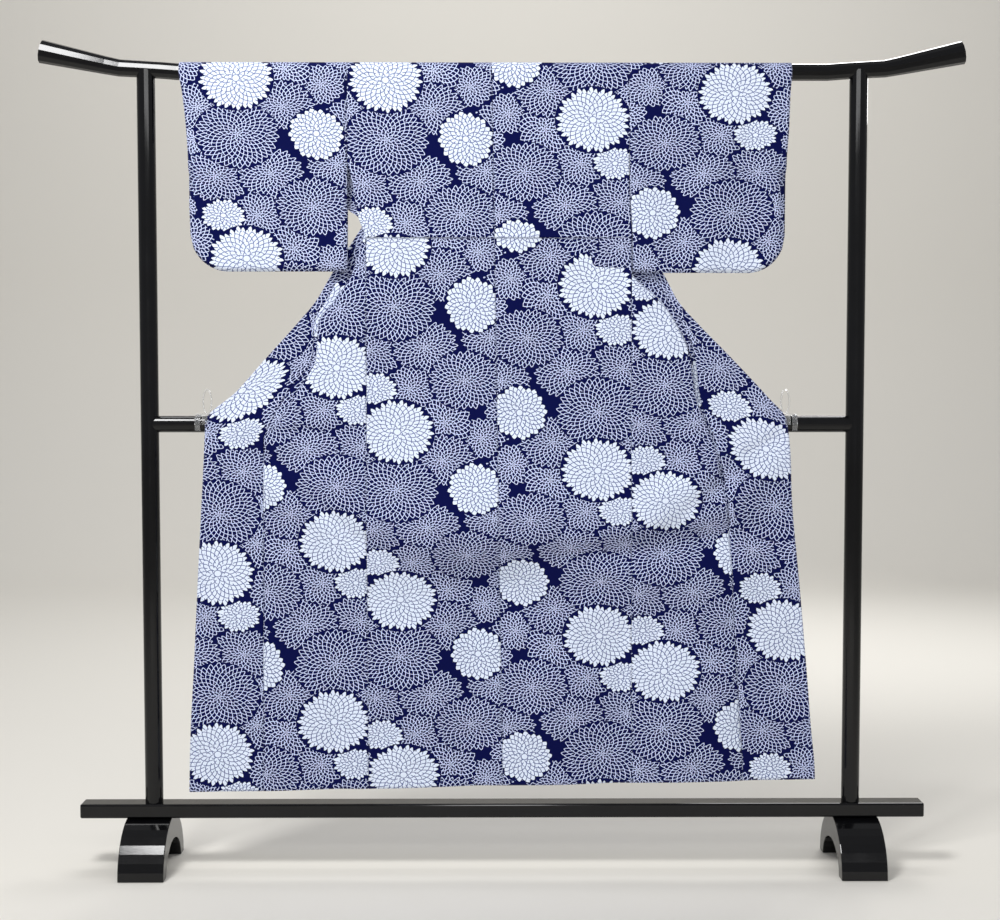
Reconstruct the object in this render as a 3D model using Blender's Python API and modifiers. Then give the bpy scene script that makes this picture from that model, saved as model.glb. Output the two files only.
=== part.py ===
"""Cotton yukata robe hung by its shoulders over a black lacquered kimono rack.

Metres, +Z up. The floor is Z = 0, the rack stands in the plane Y = 0, and the back of the
robe faces -Y. The two fronts are drawn out to the sides and clipped to the middle rail.
"""
import math

import bmesh
import bpy
import numpy as np

COLLECTION = "yukata_robe_on_rack"

# Rack
BAR_RADIUS = 0.0175
BAR_HEIGHT = 1.6853
BAR_RISE_AT_POST = 0.0045
POST_X = 0.746
POST_RADIUS = 0.019
RAIL_HEIGHT = 0.9485
RAIL_RADIUS = 0.0175
BOARD_HALF = 0.900
BOARD_HALF_DEPTH = 0.0246
BOARD_BOTTOM = 0.1092
BOARD_TOP = 0.1395
BOARD_ROUNDING = 0.004
FOOT_X = 0.754
FOOT_WIDTH = 0.096
FOOT_HALF_DEPTH = 0.118
FOOT_LEG = 0.034
FOOT_ARCH = 0.058
FOOT_EDGE = 0.003
TOUCH = 0.0003

# Half of the top bar, from its middle to its upturned tip: height over BAR_HEIGHT, thickness
BAR_COLUMNS = ("x", "rise", "scale")
BAR_PLACES = (
    (0.000, 0.0000, 1.00),
    (0.350, 0.0000, 1.00),
    (0.680, 0.0000, 1.00),
    (0.710, 0.0024, 1.00),
    (0.760, 0.0054, 1.00),
    (0.800, 0.0075, 1.02),
    (0.830, 0.0132, 1.07),
    (0.963, 0.0412, 1.38),
)

# Clips of clear plastic on the middle rail
CLIP_BAND_WIDTH = 0.011
CLIP_THICKNESS = 0.003
CLIP_OPENING = math.radians(50)
CLIP_HANDLE_WIDTH = 0.021
CLIP_HANDLE_HEIGHT = 0.052
CLIP_WIRE = 0.0016
CLIP_SHELF_LOW = 0.0022
CLIP_SHELF_HIGH = 0.0050
CLIP_SHELF_HALF = 0.006
CLIP_TAB_THICKNESS = 0.0022
CLIP_TAB_CLEAR = 0.0012
CLIP_TAB_DROP = 0.018
CLIP_LEFT = {"band": -0.6425, "handle": -0.6245}
CLIP_RIGHT = {"band": 0.6165, "handle": 0.5985}

# Cloth
WALL = 0.0013
COLLAR_WALL = 0.0025
COLLAR_GAP = 0.0009
SEAM_GAP = 0.0004
OVER_BAR = 0.0193
CENTRE_TOP = -0.0225
CENTRE_HEM = 0.0003
CENTRE_LEVEL = 1.6975
HEM_LEVEL = 0.181
HEM_SLOPE = 0.0192
HEM_SLOPE_FADES = 0.95
NECK_SHARE = 0.30
FRONT_WIDTH = 0.222
SIDE_SEAM_TOP = 1.338
TUCK_LEVEL = 1.3445
TUCK_STEP = 0.0025
TUCK_HEIGHT = 0.005
COLLAR_WIDTH = 0.056
COLLAR_START = 0.019
NECK_DROP = 0.055
KENSAKI_LEVEL = 1.466
FOLD_SOFTNESS = 0.007
FLAT_SHARE = 0.15
FOLD_STARTS = 1.640
FOLD_WHOLE = 1.540

# Rows from the bar to the hem. side: side seam or armhole edge, measured outward from X = 0.
# crease: cloth from the side edge to the first fold, below zero where there is none.
# seam: seam of front and okumi. edge: outer edge of the okumi.
LEVEL_COLUMNS = ("z", "side", "crease", "seam", "edge")
LEFT_LEVELS = (
    (1.660, 0.3245, -0.020, 0.1131, 0.1131),
    (1.600, 0.3245, -0.020, 0.1470, 0.1470),
    (1.498, 0.3245, -0.020, 0.2110, 0.2110),
    (1.466, 0.3165, -0.020, 0.2310, 0.2316),
    (1.380, 0.3010, -0.012, 0.2760, 0.2856),
    (1.334, 0.2862, 0.012, 0.3020, 0.3150),
    (1.263, 0.2857, 0.036, 0.3410, 0.3603),
    (1.207, 0.2857, 0.072, 0.3720, 0.3930),
    (1.165, 0.2857, 0.104, 0.3950, 0.4280),
    (1.084, 0.2857, 0.112, 0.4010, 0.5005),
    (1.019, 0.2857, 0.150, 0.4509, 0.5578),
    (0.954, 0.2857, 0.190, 0.4860, 0.6244),
    (0.916, 0.2857, 0.216, 0.5020, 0.6257),
    (0.783, 0.2857, 0.222, 0.5030, 0.6335),
    (0.612, 0.2857, 0.222, 0.5040, 0.6438),
    (0.471, 0.2855, 0.222, 0.5055, 0.6516),
    (0.272, 0.2850, 0.222, 0.5070, 0.6632),
    (0.181, 0.2848, 0.222, 0.5081, 0.6653),
)
RIGHT_LEVELS = (
    (1.660, 0.2643, -0.020, 0.0635, 0.0635),
    (1.600, 0.2643, -0.020, 0.1040, 0.1040),
    (1.498, 0.2643, -0.020, 0.1750, 0.1750),
    (1.466, 0.2643, -0.020, 0.1975, 0.1981),
    (1.380, 0.2680, -0.012, 0.2480, 0.2575),
    (1.334, 0.2701, -0.014, 0.2770, 0.2896),
    (1.290, 0.2700, -0.014, 0.3020, 0.3200),
    (1.263, 0.2700, 0.004, 0.3180, 0.3390),
    (1.207, 0.2700, 0.066, 0.3490, 0.3692),
    (1.157, 0.2700, 0.100, 0.3790, 0.4135),
    (1.099, 0.2700, 0.126, 0.4030, 0.4707),
    (1.006, 0.2699, 0.141, 0.4145, 0.5575),
    (0.960, 0.2698, 0.158, 0.4290, 0.5960),
    (0.916, 0.2698, 0.176, 0.4460, 0.6025),
    (0.789, 0.2700, 0.203, 0.4730, 0.6090),
    (0.683, 0.2710, 0.212, 0.4802, 0.6190),
    (0.491, 0.2725, 0.220, 0.4923, 0.6375),
    (0.302, 0.2740, 0.222, 0.5040, 0.6535),
    (0.181, 0.2750, 0.222, 0.5110, 0.6640),
)

# How far the cloth stands from the rack's plane. back: back panel. side: side edge of the
# front. okumi: the front's seam with the okumi, behind its folds.
DEPTH_COLUMNS = ("z", "back", "side", "okumi")
DEPTHS = (
    (BAR_HEIGHT, -OVER_BAR, OVER_BAR, OVER_BAR),
    (1.640, -0.0197, 0.0177, 0.0186),
    (1.570, -0.0209, 0.0110, 0.0165),
    (1.498, -0.0222, 0.0040, 0.0125),
    (1.400, -0.0255, -0.0110, 0.0055),
    (1.334, -0.0275, -0.0275, 0.0005),
    (1.263, -0.0290, -0.0290, -0.0060),
    (1.200, -0.0300, -0.0300, -0.0110),
    (1.060, -0.0310, -0.0310, -0.0195),
    (0.954, -0.0315, -0.0315, -0.0270),
    (0.900, -0.0318, -0.0318, -0.0300),
    (0.181, -0.0320, -0.0320, -0.0312),
)

# Sleeves: outer edge measured outward from X = 0, and the depth of the two walls
SLEEVE_COLUMNS = ("z", "left", "right", "front", "rear")
SLEEVE_LEVELS = (
    (BAR_HEIGHT, 0.6740, 0.6030, -OVER_BAR, OVER_BAR),
    (1.640, 0.6675, 0.6000, -0.0197, 0.0177),
    (1.570, 0.6600, 0.5975, -0.0209, 0.0110),
    (1.498, 0.6560, 0.5930, -0.0222, 0.0040),
    (1.400, 0.6550, 0.5910, -0.0245, -0.0070),
    (1.320, 0.6520, 0.5900, -0.0262, -0.0160),
    (1.262, 0.6510, 0.5890, -0.0262, -0.0182),
)
SLEEVE_BOTTOM_LEFT = 1.2686
SLEEVE_BOTTOM_RIGHT = 1.2660
SLEEVE_CORNER = 0.078
CUFF = 0.230
SLEEVE_CLEAR = 0.0012

# Largest folds of the hanging cloth, as soft ridges that stand towards -Y.
# Below zero is a trough. lean: degrees from +X towards +Z.
FOLD_COLUMNS = ("x", "z", "lean", "length", "width", "height")
FOLDS_FADE = (1.05, 1.25)
FOLDS = (
    (-0.010, 0.740, 0, 0.260, 0.110, 0.030),
    (-0.010, 0.505, 0, 0.170, 0.080, -0.010),
    (-0.430, 0.800, -28, 0.150, 0.035, 0.012),
    (-0.480, 0.880, -10, 0.090, 0.022, -0.007),
    (0.440, 0.800, 27, 0.140, 0.038, 0.013),
    (0.390, 0.700, 4, 0.130, 0.030, -0.010),
    (0.300, 0.620, 6, 0.150, 0.045, 0.010),
    (-0.210, 0.330, 88, 0.180, 0.060, 0.010),
    (0.110, 0.320, 92, 0.170, 0.055, 0.011),
    (0.400, 0.330, 90, 0.160, 0.060, 0.009),
    (-0.480, 0.330, 90, 0.170, 0.055, 0.008),
)

NECK_COLUMNS = 3
SHOULDER_COLUMNS = 16
BACK_ROWS = (0.0, 0.10, 0.20, 0.29, 0.37, 0.44, 0.50, 0.56, 0.63, 0.71, 0.80, 0.90, 1.00)
CREST_STEPS = 4
NECK_STEPS = 8
FRONT_ROWS = (1.615, 1.562, 1.51, 1.466, 1.42, 1.375, 1.334, 1.298, 1.255, 1.21, 1.165, 1.12,
              1.07, 1.02, 0.975, 0.93, 0.87, 0.80, 0.72, 0.64, 0.56, 0.46, 0.36, 0.27, HEM_LEVEL)
SHOULDER_LEVELS = (1.40, 1.455, 1.498, 1.56, 1.62)
OKUMI_COLUMNS = 4
OKUMI_TIP = 0.012
OKUMI_LEAST = 0.003
SLEEVE_ACROSS = 10
SLEEVE_DOWN = 9
SLEEVE_CROWDING = 0.85
COLLAR_SHARES = (0.0, 0.12, 0.24, 0.36, 0.65, 1.0)
COLLAR_FIRST = 1.660
COLLAR_LAST = 0.972
COLLAR_STEP = 0.0328


def smooth_read(rows, columns, name, level):
    """Read a table's column at a level, on a smooth curve that never passes its rows."""
    place = columns.index(name)
    z = np.array([row[0] for row in rows])[::-1]
    value = np.array([row[place] for row in rows])[::-1]
    steep = np.diff(value) / np.diff(z)
    slope = np.zeros(len(z))
    same = steep[:-1] * steep[1:] > 0
    slope[1:-1][same] = 2 * (steep[:-1] * steep[1:])[same] / (steep[:-1] + steep[1:])[same]
    level = min(max(level, z[0]), z[-1])
    k = min(max(int(np.searchsorted(z, level)) - 1, 0), len(z) - 2)
    span = z[k + 1] - z[k]
    t = (level - z[k]) / span
    start = (1 + 2 * t) * (1 - t) ** 2
    return (
        start * value[k]
        + (1 - start) * value[k + 1]
        + span * slope[k] * t * (1 - t) ** 2
        - span * slope[k + 1] * t * t * (1 - t)
    )


def ease(low, high, value):
    """Rise smoothly from 0 at low to 1 at high."""
    t = min(max((value - low) / (high - low), 0.0), 1.0)
    return t * t * (3 - 2 * t)


def fold_push(x, z):
    """Depth that the largest folds add at a place, below zero towards the viewer."""
    push = 0.0
    for row in FOLDS:
        fold = dict(zip(FOLD_COLUMNS, row))
        c, s = math.cos(math.radians(fold["lean"])), math.sin(math.radians(fold["lean"]))
        run = (c * (x - fold["x"]) + s * (z - fold["z"])) / fold["length"]
        rise = (c * (z - fold["z"]) - s * (x - fold["x"])) / fold["width"]
        push -= fold["height"] * math.exp(-0.5 * (run * run + rise * rise))
    return push * (1 - ease(*FOLDS_FADE, z))


def hang(x, y, z):
    """Give a cloth point its folds, and slope the hem."""
    lift = HEM_SLOPE * x * ease(HEM_SLOPE_FADES, HEM_LEVEL, z)
    return (x, y + fold_push(x, z), z + lift)


def centre_at(z):
    """X of the centre back seam."""
    t = (CENTRE_LEVEL - z) / (CENTRE_LEVEL - HEM_LEVEL)
    return CENTRE_TOP + (CENTRE_HEM - CENTRE_TOP) * min(max(t, 0.0), 1.0)


def over_bar(angle, radius):
    """Depth and height of cloth that lies round the bar; 0 degrees is its front, 180 its rear."""
    a = math.radians(angle)
    return -radius * math.cos(a), BAR_HEIGHT + radius * math.sin(a)


def okumi_depth(z):
    """Depth of the okumi and of the front's edge that it is sewn to."""
    return smooth_read(DEPTHS, DEPTH_COLUMNS, "okumi", z)


class Side:
    """The left or the right half of the robe, measured outward from X = 0."""

    def __init__(self, name, sign, levels):
        self.name = name
        self.sign = sign
        self.levels = levels

    def read(self, column, z):
        return smooth_read(self.levels, LEVEL_COLUMNS, column, z)

    def centre(self, z):
        return self.sign * centre_at(z) + SEAM_GAP / 2

    def neck(self):
        inner = self.centre(CENTRE_LEVEL)
        return inner + NECK_SHARE * (self.read("side", CENTRE_LEVEL) - inner)

    def front(self, z, u):
        """Outward place and depth of a front, u metres of cloth from its side edge."""
        side = self.read("side", z) + SEAM_GAP * (z < SIDE_SEAM_TOP)
        seam = self.read("seam", z)
        slack = max(FRONT_WIDTH - abs(seam - side), 0.0) * ease(FOLD_STARTS, FOLD_WHOLE, z)
        width = abs(seam - side) + slack
        crease = min(self.read("crease", z), width)
        second = (width + 2 * max(crease, 0.0) - (seam - side)) / 2

        def turned(t):
            return FOLD_SOFTNESS * math.log1p(math.exp(2 * t / FOLD_SOFTNESS))

        def passed(t):
            return 1 / (1 + math.exp(-2 * t / FOLD_SOFTNESS))

        def run(t):
            return t - turned(t - crease) + turned(t - second)

        def layers(t):
            return passed(t - crease) + passed(t - second)

        t = u * width
        out = side + run(t) - run(0.0)
        out += (seam - side - run(width) + run(0.0)) * u
        share = (layers(t) - layers(0.0) + FLAT_SHARE * u)
        share /= layers(width) - layers(0.0) + FLAT_SHARE
        near = smooth_read(DEPTHS, DEPTH_COLUMNS, "side", z)
        return out, near + (okumi_depth(z) - near) * share


LEFT = Side("left", -1, LEFT_LEVELS)
RIGHT = Side("right", 1, RIGHT_LEVELS)


def back_depth(z):
    """Depth of the back panel, with the step under the tuck."""
    depth = smooth_read(DEPTHS, DEPTH_COLUMNS, "back", z)
    return depth + TUCK_STEP * (1 - ease(TUCK_LEVEL - TUCK_HEIGHT, TUCK_LEVEL, z))


def column_share(j):
    """Share of the panel's width that lies inside column j of a back panel."""
    if j <= NECK_COLUMNS:
        return NECK_SHARE * j / NECK_COLUMNS
    return NECK_SHARE + (1 - NECK_SHARE) * (j - NECK_COLUMNS) / SHOULDER_COLUMNS


def neck_drop(side, out):
    """Cloth between the bar's crest and the neck seam behind it."""
    t = (out - side.centre(CENTRE_LEVEL)) / (side.neck() - side.centre(CENTRE_LEVEL))
    return COLLAR_START + (NECK_DROP - COLLAR_START) * t ** 4


def behind_bar(drop, extra=0.0):
    """Depth and height of a rear point, drop metres of cloth past the bar's crest."""
    radius = OVER_BAR + extra
    quarter = OVER_BAR * math.pi / 2
    if drop < quarter:
        return over_bar(90 + 90 * drop / quarter, radius)
    z = BAR_HEIGHT - (drop - quarter)
    return smooth_read(DEPTHS, DEPTH_COLUMNS, "side", z) + extra, z


def back_levels():
    """Heights of the back panel's rows, with two at the tuck."""
    below = TUCK_LEVEL - TUCK_HEIGHT - HEM_LEVEL
    return [HEM_LEVEL + below * t for t in BACK_ROWS] + [TUCK_LEVEL, *SHOULDER_LEVELS, BAR_HEIGHT]


def body_rows(side):
    """Rows of a body panel from the back hem over the bar to the front hem."""
    columns = NECK_COLUMNS + SHOULDER_COLUMNS
    rows = []
    for z in back_levels():
        inner, outer = side.centre(z), side.read("side", z) - SEAM_GAP * (z < SIDE_SEAM_TOP)
        row = []
        for j in range(columns + 1):
            out = inner + (outer - inner) * column_share(j)
            row.append(hang(side.sign * out, back_depth(z), z))
        rows.append(row)
    inner, outer = side.centre(CENTRE_LEVEL), side.read("side", CENTRE_LEVEL)
    spread = [inner + (outer - inner) * column_share(j) for j in range(columns + 1)]
    for step in range(1, CREST_STEPS + 1):
        y, z = over_bar(90 * step / CREST_STEPS, OVER_BAR)
        rows.append([(side.sign * out, y, z) for out in spread])
    for step in range(1, NECK_STEPS + 1):
        row = []
        for j, out in enumerate(spread):
            seam = NECK_DROP if j >= NECK_COLUMNS else neck_drop(side, out) - SEAM_GAP
            y, z = behind_bar(min(NECK_DROP * step / NECK_STEPS, seam))
            row.append((side.sign * out, y, z))
        rows.append(row)
    neck_end = len(rows) - 1
    for z in FRONT_ROWS:
        row = []
        for j in range(columns + 1):
            u = (columns - max(j, NECK_COLUMNS)) / SHOULDER_COLUMNS
            out, y = side.front(z, u)
            row.append(hang(side.sign * out, y, z))
        rows.append(row)
    return rows, neck_end


def sheet_mesh(name, rows, keep=lambda i, j: True):
    """Open mesh from a grid of points; keep says which cells are cloth."""
    shape = bmesh.new()
    verts = {}
    for i, row in enumerate(rows[:-1]):
        for j in range(len(row) - 1):
            if not keep(i, j):
                continue
            ring = [(i, j), (i, j + 1), (i + 1, j + 1), (i + 1, j)]
            for key in ring:
                if key not in verts:
                    verts[key] = shape.verts.new(rows[key[0]][key[1]])
            shape.faces.new([verts[key] for key in ring])
    bmesh.ops.remove_doubles(shape, verts=shape.verts, dist=0.00001)
    bmesh.ops.recalc_face_normals(shape, faces=shape.faces)
    mesh = bpy.data.meshes.new(name)
    shape.to_mesh(mesh)
    shape.free()
    return mesh


def material(name, colour, roughness, metallic=0.0, transmission=0.0):
    """Principled material for one kind of sub-part."""
    made = bpy.data.materials.new(name)
    made.use_nodes = True
    shader = made.node_tree.nodes["Principled BSDF"]
    shader.inputs["Base Color"].default_value = (*colour, 1.0)
    shader.inputs["Roughness"].default_value = roughness
    shader.inputs["Metallic"].default_value = metallic
    shader.inputs["Transmission Weight"].default_value = transmission
    return made


def add_object(name, data, look, collection):
    """Object with its own material in the part's collection."""
    made = bpy.data.objects.new(name, data)
    data.materials.append(look)
    collection.objects.link(made)
    return made


def cloth_object(name, mesh, wall, look, collection):
    """Sheet of cloth with a wall thickness."""
    made = add_object(name, mesh, look, collection)
    mesh.shade_smooth()
    thick = made.modifiers.new("wall", "SOLIDIFY")
    thick.thickness = wall
    thick.offset = 0.0
    return made


def make_body(side, look, collection):
    """Back panel, shoulder and front of one side, cut in one length."""
    rows, neck_end = body_rows(side)
    mesh = sheet_mesh(
        f"body_{side.name}", rows, lambda i, j: i < neck_end or j >= NECK_COLUMNS
    )
    return cloth_object(f"body_{side.name}", mesh, WALL, look, collection)


def make_okumi(side, look, collection):
    """Overlap panel sewn to the front's edge."""
    rows = []
    top = KENSAKI_LEVEL - OKUMI_TIP
    levels = [top] + [z for z in FRONT_ROWS if z < top - OKUMI_TIP]
    for z in levels:
        inner = side.read("seam", z) + SEAM_GAP
        outer = max(side.read("edge", z), inner + OKUMI_LEAST)
        row = []
        for j in range(OKUMI_COLUMNS + 1):
            out = inner + (outer - inner) * j / OKUMI_COLUMNS
            row.append(hang(side.sign * out, okumi_depth(z), z))
        rows.append(row)
    mesh = sheet_mesh(f"okumi_{side.name}", rows)
    return cloth_object(f"okumi_{side.name}", mesh, WALL, look, collection)


def collar_path(side):
    """Outward place and drop past the crest along the neck seam, then down the front edge."""
    inner = side.centre(CENTRE_LEVEL) - SEAM_GAP / 2
    quarter = OVER_BAR * math.pi / 2
    path = []
    for step in range(4):
        out = inner + (side.neck() - inner) * step / 4
        path.append((out, neck_drop(side, out)))
    steps = round((COLLAR_FIRST - COLLAR_LAST) / COLLAR_STEP)
    for step in range(steps + 1):
        z = COLLAR_FIRST - (COLLAR_FIRST - COLLAR_LAST) * step / steps
        path.append((side.read("edge", z), quarter + BAR_HEIGHT - z))
    return path


def collar_point(side, out, drop, share):
    """Place of a collar point that lies behind the front and its okumi."""
    clear = WALL / 2 + COLLAR_GAP + COLLAR_WALL / 2 + COLLAR_GAP * share
    quarter = OVER_BAR * math.pi / 2
    level = BAR_HEIGHT - (drop - quarter)
    if drop < quarter:
        y, z = behind_bar(drop, clear)
        return (side.sign * out, y, z)
    return hang(side.sign * out, okumi_depth(level) + clear, level)


def make_collar(look, collection):
    """Doubled collar, folded back behind the edges that it is sewn to."""
    line = [(-out, drop, LEFT) for out, drop in reversed(collar_path(LEFT))]
    line += [(out, drop, RIGHT) for out, drop in collar_path(RIGHT)[1:]]
    rows = []
    for k, (x, drop, side) in enumerate(line):
        before, after = line[max(k - 1, 0)], line[min(k + 1, len(line) - 1)]
        run = np.array([after[0] - before[0], after[1] - before[1]])
        run /= np.linalg.norm(run)
        inward = np.array([-run[1], run[0]])
        row = []
        for share in COLLAR_SHARES:
            px, pd = np.array([x, drop]) + inward * COLLAR_WIDTH * share
            row.append(collar_point(side, side.sign * px, pd, share))
        rows.append(row)
    mesh = sheet_mesh("collar", rows)
    return cloth_object("collar", mesh, COLLAR_WALL, look, collection)


def sleeve_rows(side, bottom):
    """Rings of a sleeve from the armhole to the cuff, each from bottom seam to bottom seam."""
    rows = []
    for i in range(SLEEVE_ACROSS + 1):
        share = (i / SLEEVE_ACROSS) ** SLEEVE_CROWDING
        widest = smooth_read(SLEEVE_LEVELS, SLEEVE_COLUMNS, side.name, bottom)
        join = side.read("side", CENTRE_LEVEL) + SEAM_GAP
        flat = join + (widest - join) * share
        into_corner = max(flat - (widest - SLEEVE_CORNER), 0.0)
        low = bottom + SLEEVE_CORNER - math.sqrt(SLEEVE_CORNER ** 2 - into_corner ** 2)
        heights = [low + (BAR_HEIGHT - low) * (j / SLEEVE_DOWN) for j in range(SLEEVE_DOWN + 1)]
        cuff_level = BAR_HEIGHT + OVER_BAR - CUFF
        front, rear = [], []
        for j, z in enumerate(heights):
            outer = smooth_read(SLEEVE_LEVELS, SLEEVE_COLUMNS, side.name, z)
            inner = max(join, side.read("side", z) + SLEEVE_CLEAR)
            x = side.sign * (inner + (outer - inner) * share)
            wall_front = smooth_read(SLEEVE_LEVELS, SLEEVE_COLUMNS, "front", z)
            wall_rear = smooth_read(SLEEVE_LEVELS, SLEEVE_COLUMNS, "rear", z)
            if j == 0 or (i == SLEEVE_ACROSS and z < cuff_level):
                wall_front = wall_rear = (wall_front + wall_rear) / 2
            front.append((x, wall_front, z))
            rear.append((x, wall_rear, z))
        ring = list(front)
        top_outer = smooth_read(SLEEVE_LEVELS, SLEEVE_COLUMNS, side.name, BAR_HEIGHT)
        x = side.sign * (join + (top_outer - join) * share)
        for step in range(1, 2 * CREST_STEPS):
            y, z = over_bar(90 * step / CREST_STEPS, OVER_BAR)
            ring.append((x, y, z))
        rows.append(ring + rear[::-1])
    return rows


def make_sleeve(side, bottom, look, collection):
    """Sleeve bag with a rounded corner, open at the cuff and along its inner edge."""
    mesh = sheet_mesh(f"sleeve_{side.name}", sleeve_rows(side, bottom))
    return cloth_object(f"sleeve_{side.name}", mesh, WALL, look, collection)


def bar_path():
    """Points of the top bar's centre line with its thickness there."""
    half = [dict(zip(BAR_COLUMNS, row)) for row in BAR_PLACES]
    points = [(row["x"], BAR_HEIGHT + row["rise"], row["scale"]) for row in half]
    return [(-x, z, scale) for x, z, scale in reversed(points[1:])] + points


def curve_object(name, points, radius, cyclic=False, roundness=4):
    """Round rod along points, which are (x, y, z, thickness)."""
    curve = bpy.data.curves.new(name, "CURVE")
    curve.dimensions = "3D"
    curve.bevel_depth = radius
    curve.bevel_resolution = roundness
    curve.use_fill_caps = not cyclic
    spline = curve.splines.new("POLY")
    spline.points.add(len(points) - 1)
    spline.use_cyclic_u = cyclic
    for point, (x, y, z, thickness) in zip(spline.points, points):
        point.co = (x, y, z, 1.0)
        point.radius = thickness
    return bpy.data.objects.new(name, curve)


def as_mesh(made, collection):
    """Turn a curve object into a mesh object with welded caps."""
    collection.objects.link(made)
    bpy.context.view_layer.update()
    ready = made.evaluated_get(bpy.context.evaluated_depsgraph_get())
    mesh = bpy.data.meshes.new_from_object(ready)
    shape = bmesh.new()
    shape.from_mesh(mesh)
    bmesh.ops.remove_doubles(shape, verts=shape.verts, dist=0.00001)
    shape.to_mesh(mesh)
    shape.free()
    solid = bpy.data.objects.new(made.name, mesh)
    solid.matrix_world = made.matrix_world
    bpy.data.objects.remove(made)
    return solid


def make_top_bar(look, collection):
    """Bar with upturned ends that thicken."""
    points = [(x, 0.0, z, scale) for x, z, scale in bar_path()]
    rod = as_mesh(curve_object("top_bar", points, BAR_RADIUS), collection)
    rod.name = "top_bar"
    rod.data.materials.append(look)
    rod.data.shade_smooth()
    rod.data.set_sharp_from_angle(angle=math.radians(40))
    collection.objects.link(rod)
    return rod


def cylinder(name, radius, length, centre, along, look, collection, segments=28):
    """Cylinder with its axis along X or Z."""
    shape = bmesh.new()
    bmesh.ops.create_cone(
        shape, cap_ends=True, segments=segments, radius1=radius, radius2=radius, depth=length
    )
    mesh = bpy.data.meshes.new(name)
    shape.to_mesh(mesh)
    shape.free()
    mesh.shade_smooth()
    mesh.set_sharp_from_angle(angle=math.radians(40))
    made = bpy.data.objects.new(name, mesh)
    if look is not None:
        mesh.materials.append(look)
    collection.objects.link(made)
    made.location = centre
    if along == "X":
        made.rotation_euler = (0.0, math.pi / 2, 0.0)
    return made


def box(name, low, high, look, collection):
    """Box between two corners."""
    shape = bmesh.new()
    bmesh.ops.create_cube(shape, size=1.0)
    for vert in shape.verts:
        for k in range(3):
            vert.co[k] = (low[k] + high[k]) / 2 + vert.co[k] * (high[k] - low[k])
    mesh = bpy.data.meshes.new(name)
    shape.to_mesh(mesh)
    shape.free()
    made = bpy.data.objects.new(name, mesh)
    if look is not None:
        mesh.materials.append(look)
    collection.objects.link(made)
    return made


def boolean(target, other, operation):
    """Cut or join with another object, exactly."""
    step = target.modifiers.new(other.name, "BOOLEAN")
    step.operation = operation
    step.object = other
    step.solver = "EXACT"


def hide_cutter(made):
    """Mark an object as a cutter."""
    made.hide_render = True
    made.display_type = "WIRE"
    return made


def make_posts_and_rail(look, collection, cutters):
    """Two posts, saddled under the bar, and the rail, saddled to the posts."""
    bar_at_post = BAR_HEIGHT + BAR_RISE_AT_POST
    wider = 1 + 2 * TOUCH / BAR_RADIUS
    points = [(x, 0.0, z, scale * wider) for x, z, scale in bar_path()]
    saddle = hide_cutter(as_mesh(curve_object("saddle_bar", points, BAR_RADIUS), cutters))
    cutters.objects.link(saddle)
    rail = cylinder("middle_rail", RAIL_RADIUS, 2 * POST_X, (0, 0, RAIL_HEIGHT), "X", look,
                    collection)
    for name, x in (("left", -POST_X), ("right", POST_X)):
        low, high = BOARD_TOP + TOUCH, bar_at_post
        post = cylinder(f"post_{name}", POST_RADIUS, high - low, (x, 0, (low + high) / 2), "Z",
                        look, collection)
        boolean(post, saddle, "DIFFERENCE")
        socket = hide_cutter(
            cylinder(f"socket_{name}", POST_RADIUS + TOUCH, 4 * POST_RADIUS, (x, 0, RAIL_HEIGHT),
                     "Z", None, cutters, 48)
        )
        boolean(rail, socket, "DIFFERENCE")


def make_base_board(look, collection):
    """Board that joins the two feet."""
    board = box("base_board", (-BOARD_HALF, -BOARD_HALF_DEPTH, BOARD_BOTTOM),
                (BOARD_HALF, BOARD_HALF_DEPTH, BOARD_TOP), look, collection)
    rounding = board.modifiers.new("rounding", "BEVEL")
    rounding.width = BOARD_ROUNDING
    rounding.segments = 3
    board.data.shade_smooth()
    board.data.set_sharp_from_angle(angle=math.radians(35))


def foot_outline():
    """Side view of a foot: an arch on two legs."""
    outline = []
    rise = BOARD_BOTTOM - TOUCH
    for step in range(19):
        a = math.pi * step / 18
        outline.append((FOOT_HALF_DEPTH * math.cos(a), rise * math.sin(a)))
    inner = FOOT_HALF_DEPTH - FOOT_LEG
    for step in range(13):
        a = math.pi * (1 - step / 12)
        outline.append((inner * math.cos(a), FOOT_ARCH * math.sin(a)))
    return outline


def flat_outline(name, outline, width):
    """Curve object of a flat outline in Y and Z with a width along X."""
    curve = bpy.data.curves.new(name, "CURVE")
    curve.dimensions = "2D"
    curve.fill_mode = "BOTH"
    curve.extrude = width / 2
    spline = curve.splines.new("POLY")
    spline.points.add(len(outline) - 1)
    spline.use_cyclic_u = True
    for point, (y, z) in zip(spline.points, outline):
        point.co = (y, z, 0.0, 1.0)
    made = bpy.data.objects.new(name, curve)
    made.rotation_euler = (math.pi / 2, 0.0, math.pi / 2)
    return made


def make_feet(look, collection):
    """Wide arched feet under the board."""
    for name, x in (("left", -FOOT_X), ("right", FOOT_X)):
        blank = flat_outline(f"foot_{name}", foot_outline(), FOOT_WIDTH)
        foot = as_mesh(blank, collection)
        foot.name = f"foot_{name}"
        foot.location.x = x
        foot.data.materials.append(look)
        collection.objects.link(foot)
        edge = foot.modifiers.new("edge", "BEVEL")
        edge.width = FOOT_EDGE
        edge.segments = 2
        edge.limit_method = "ANGLE"
        edge.angle_limit = math.radians(60)
        foot.data.shade_smooth()
        foot.data.set_sharp_from_angle(angle=math.radians(50))


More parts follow.
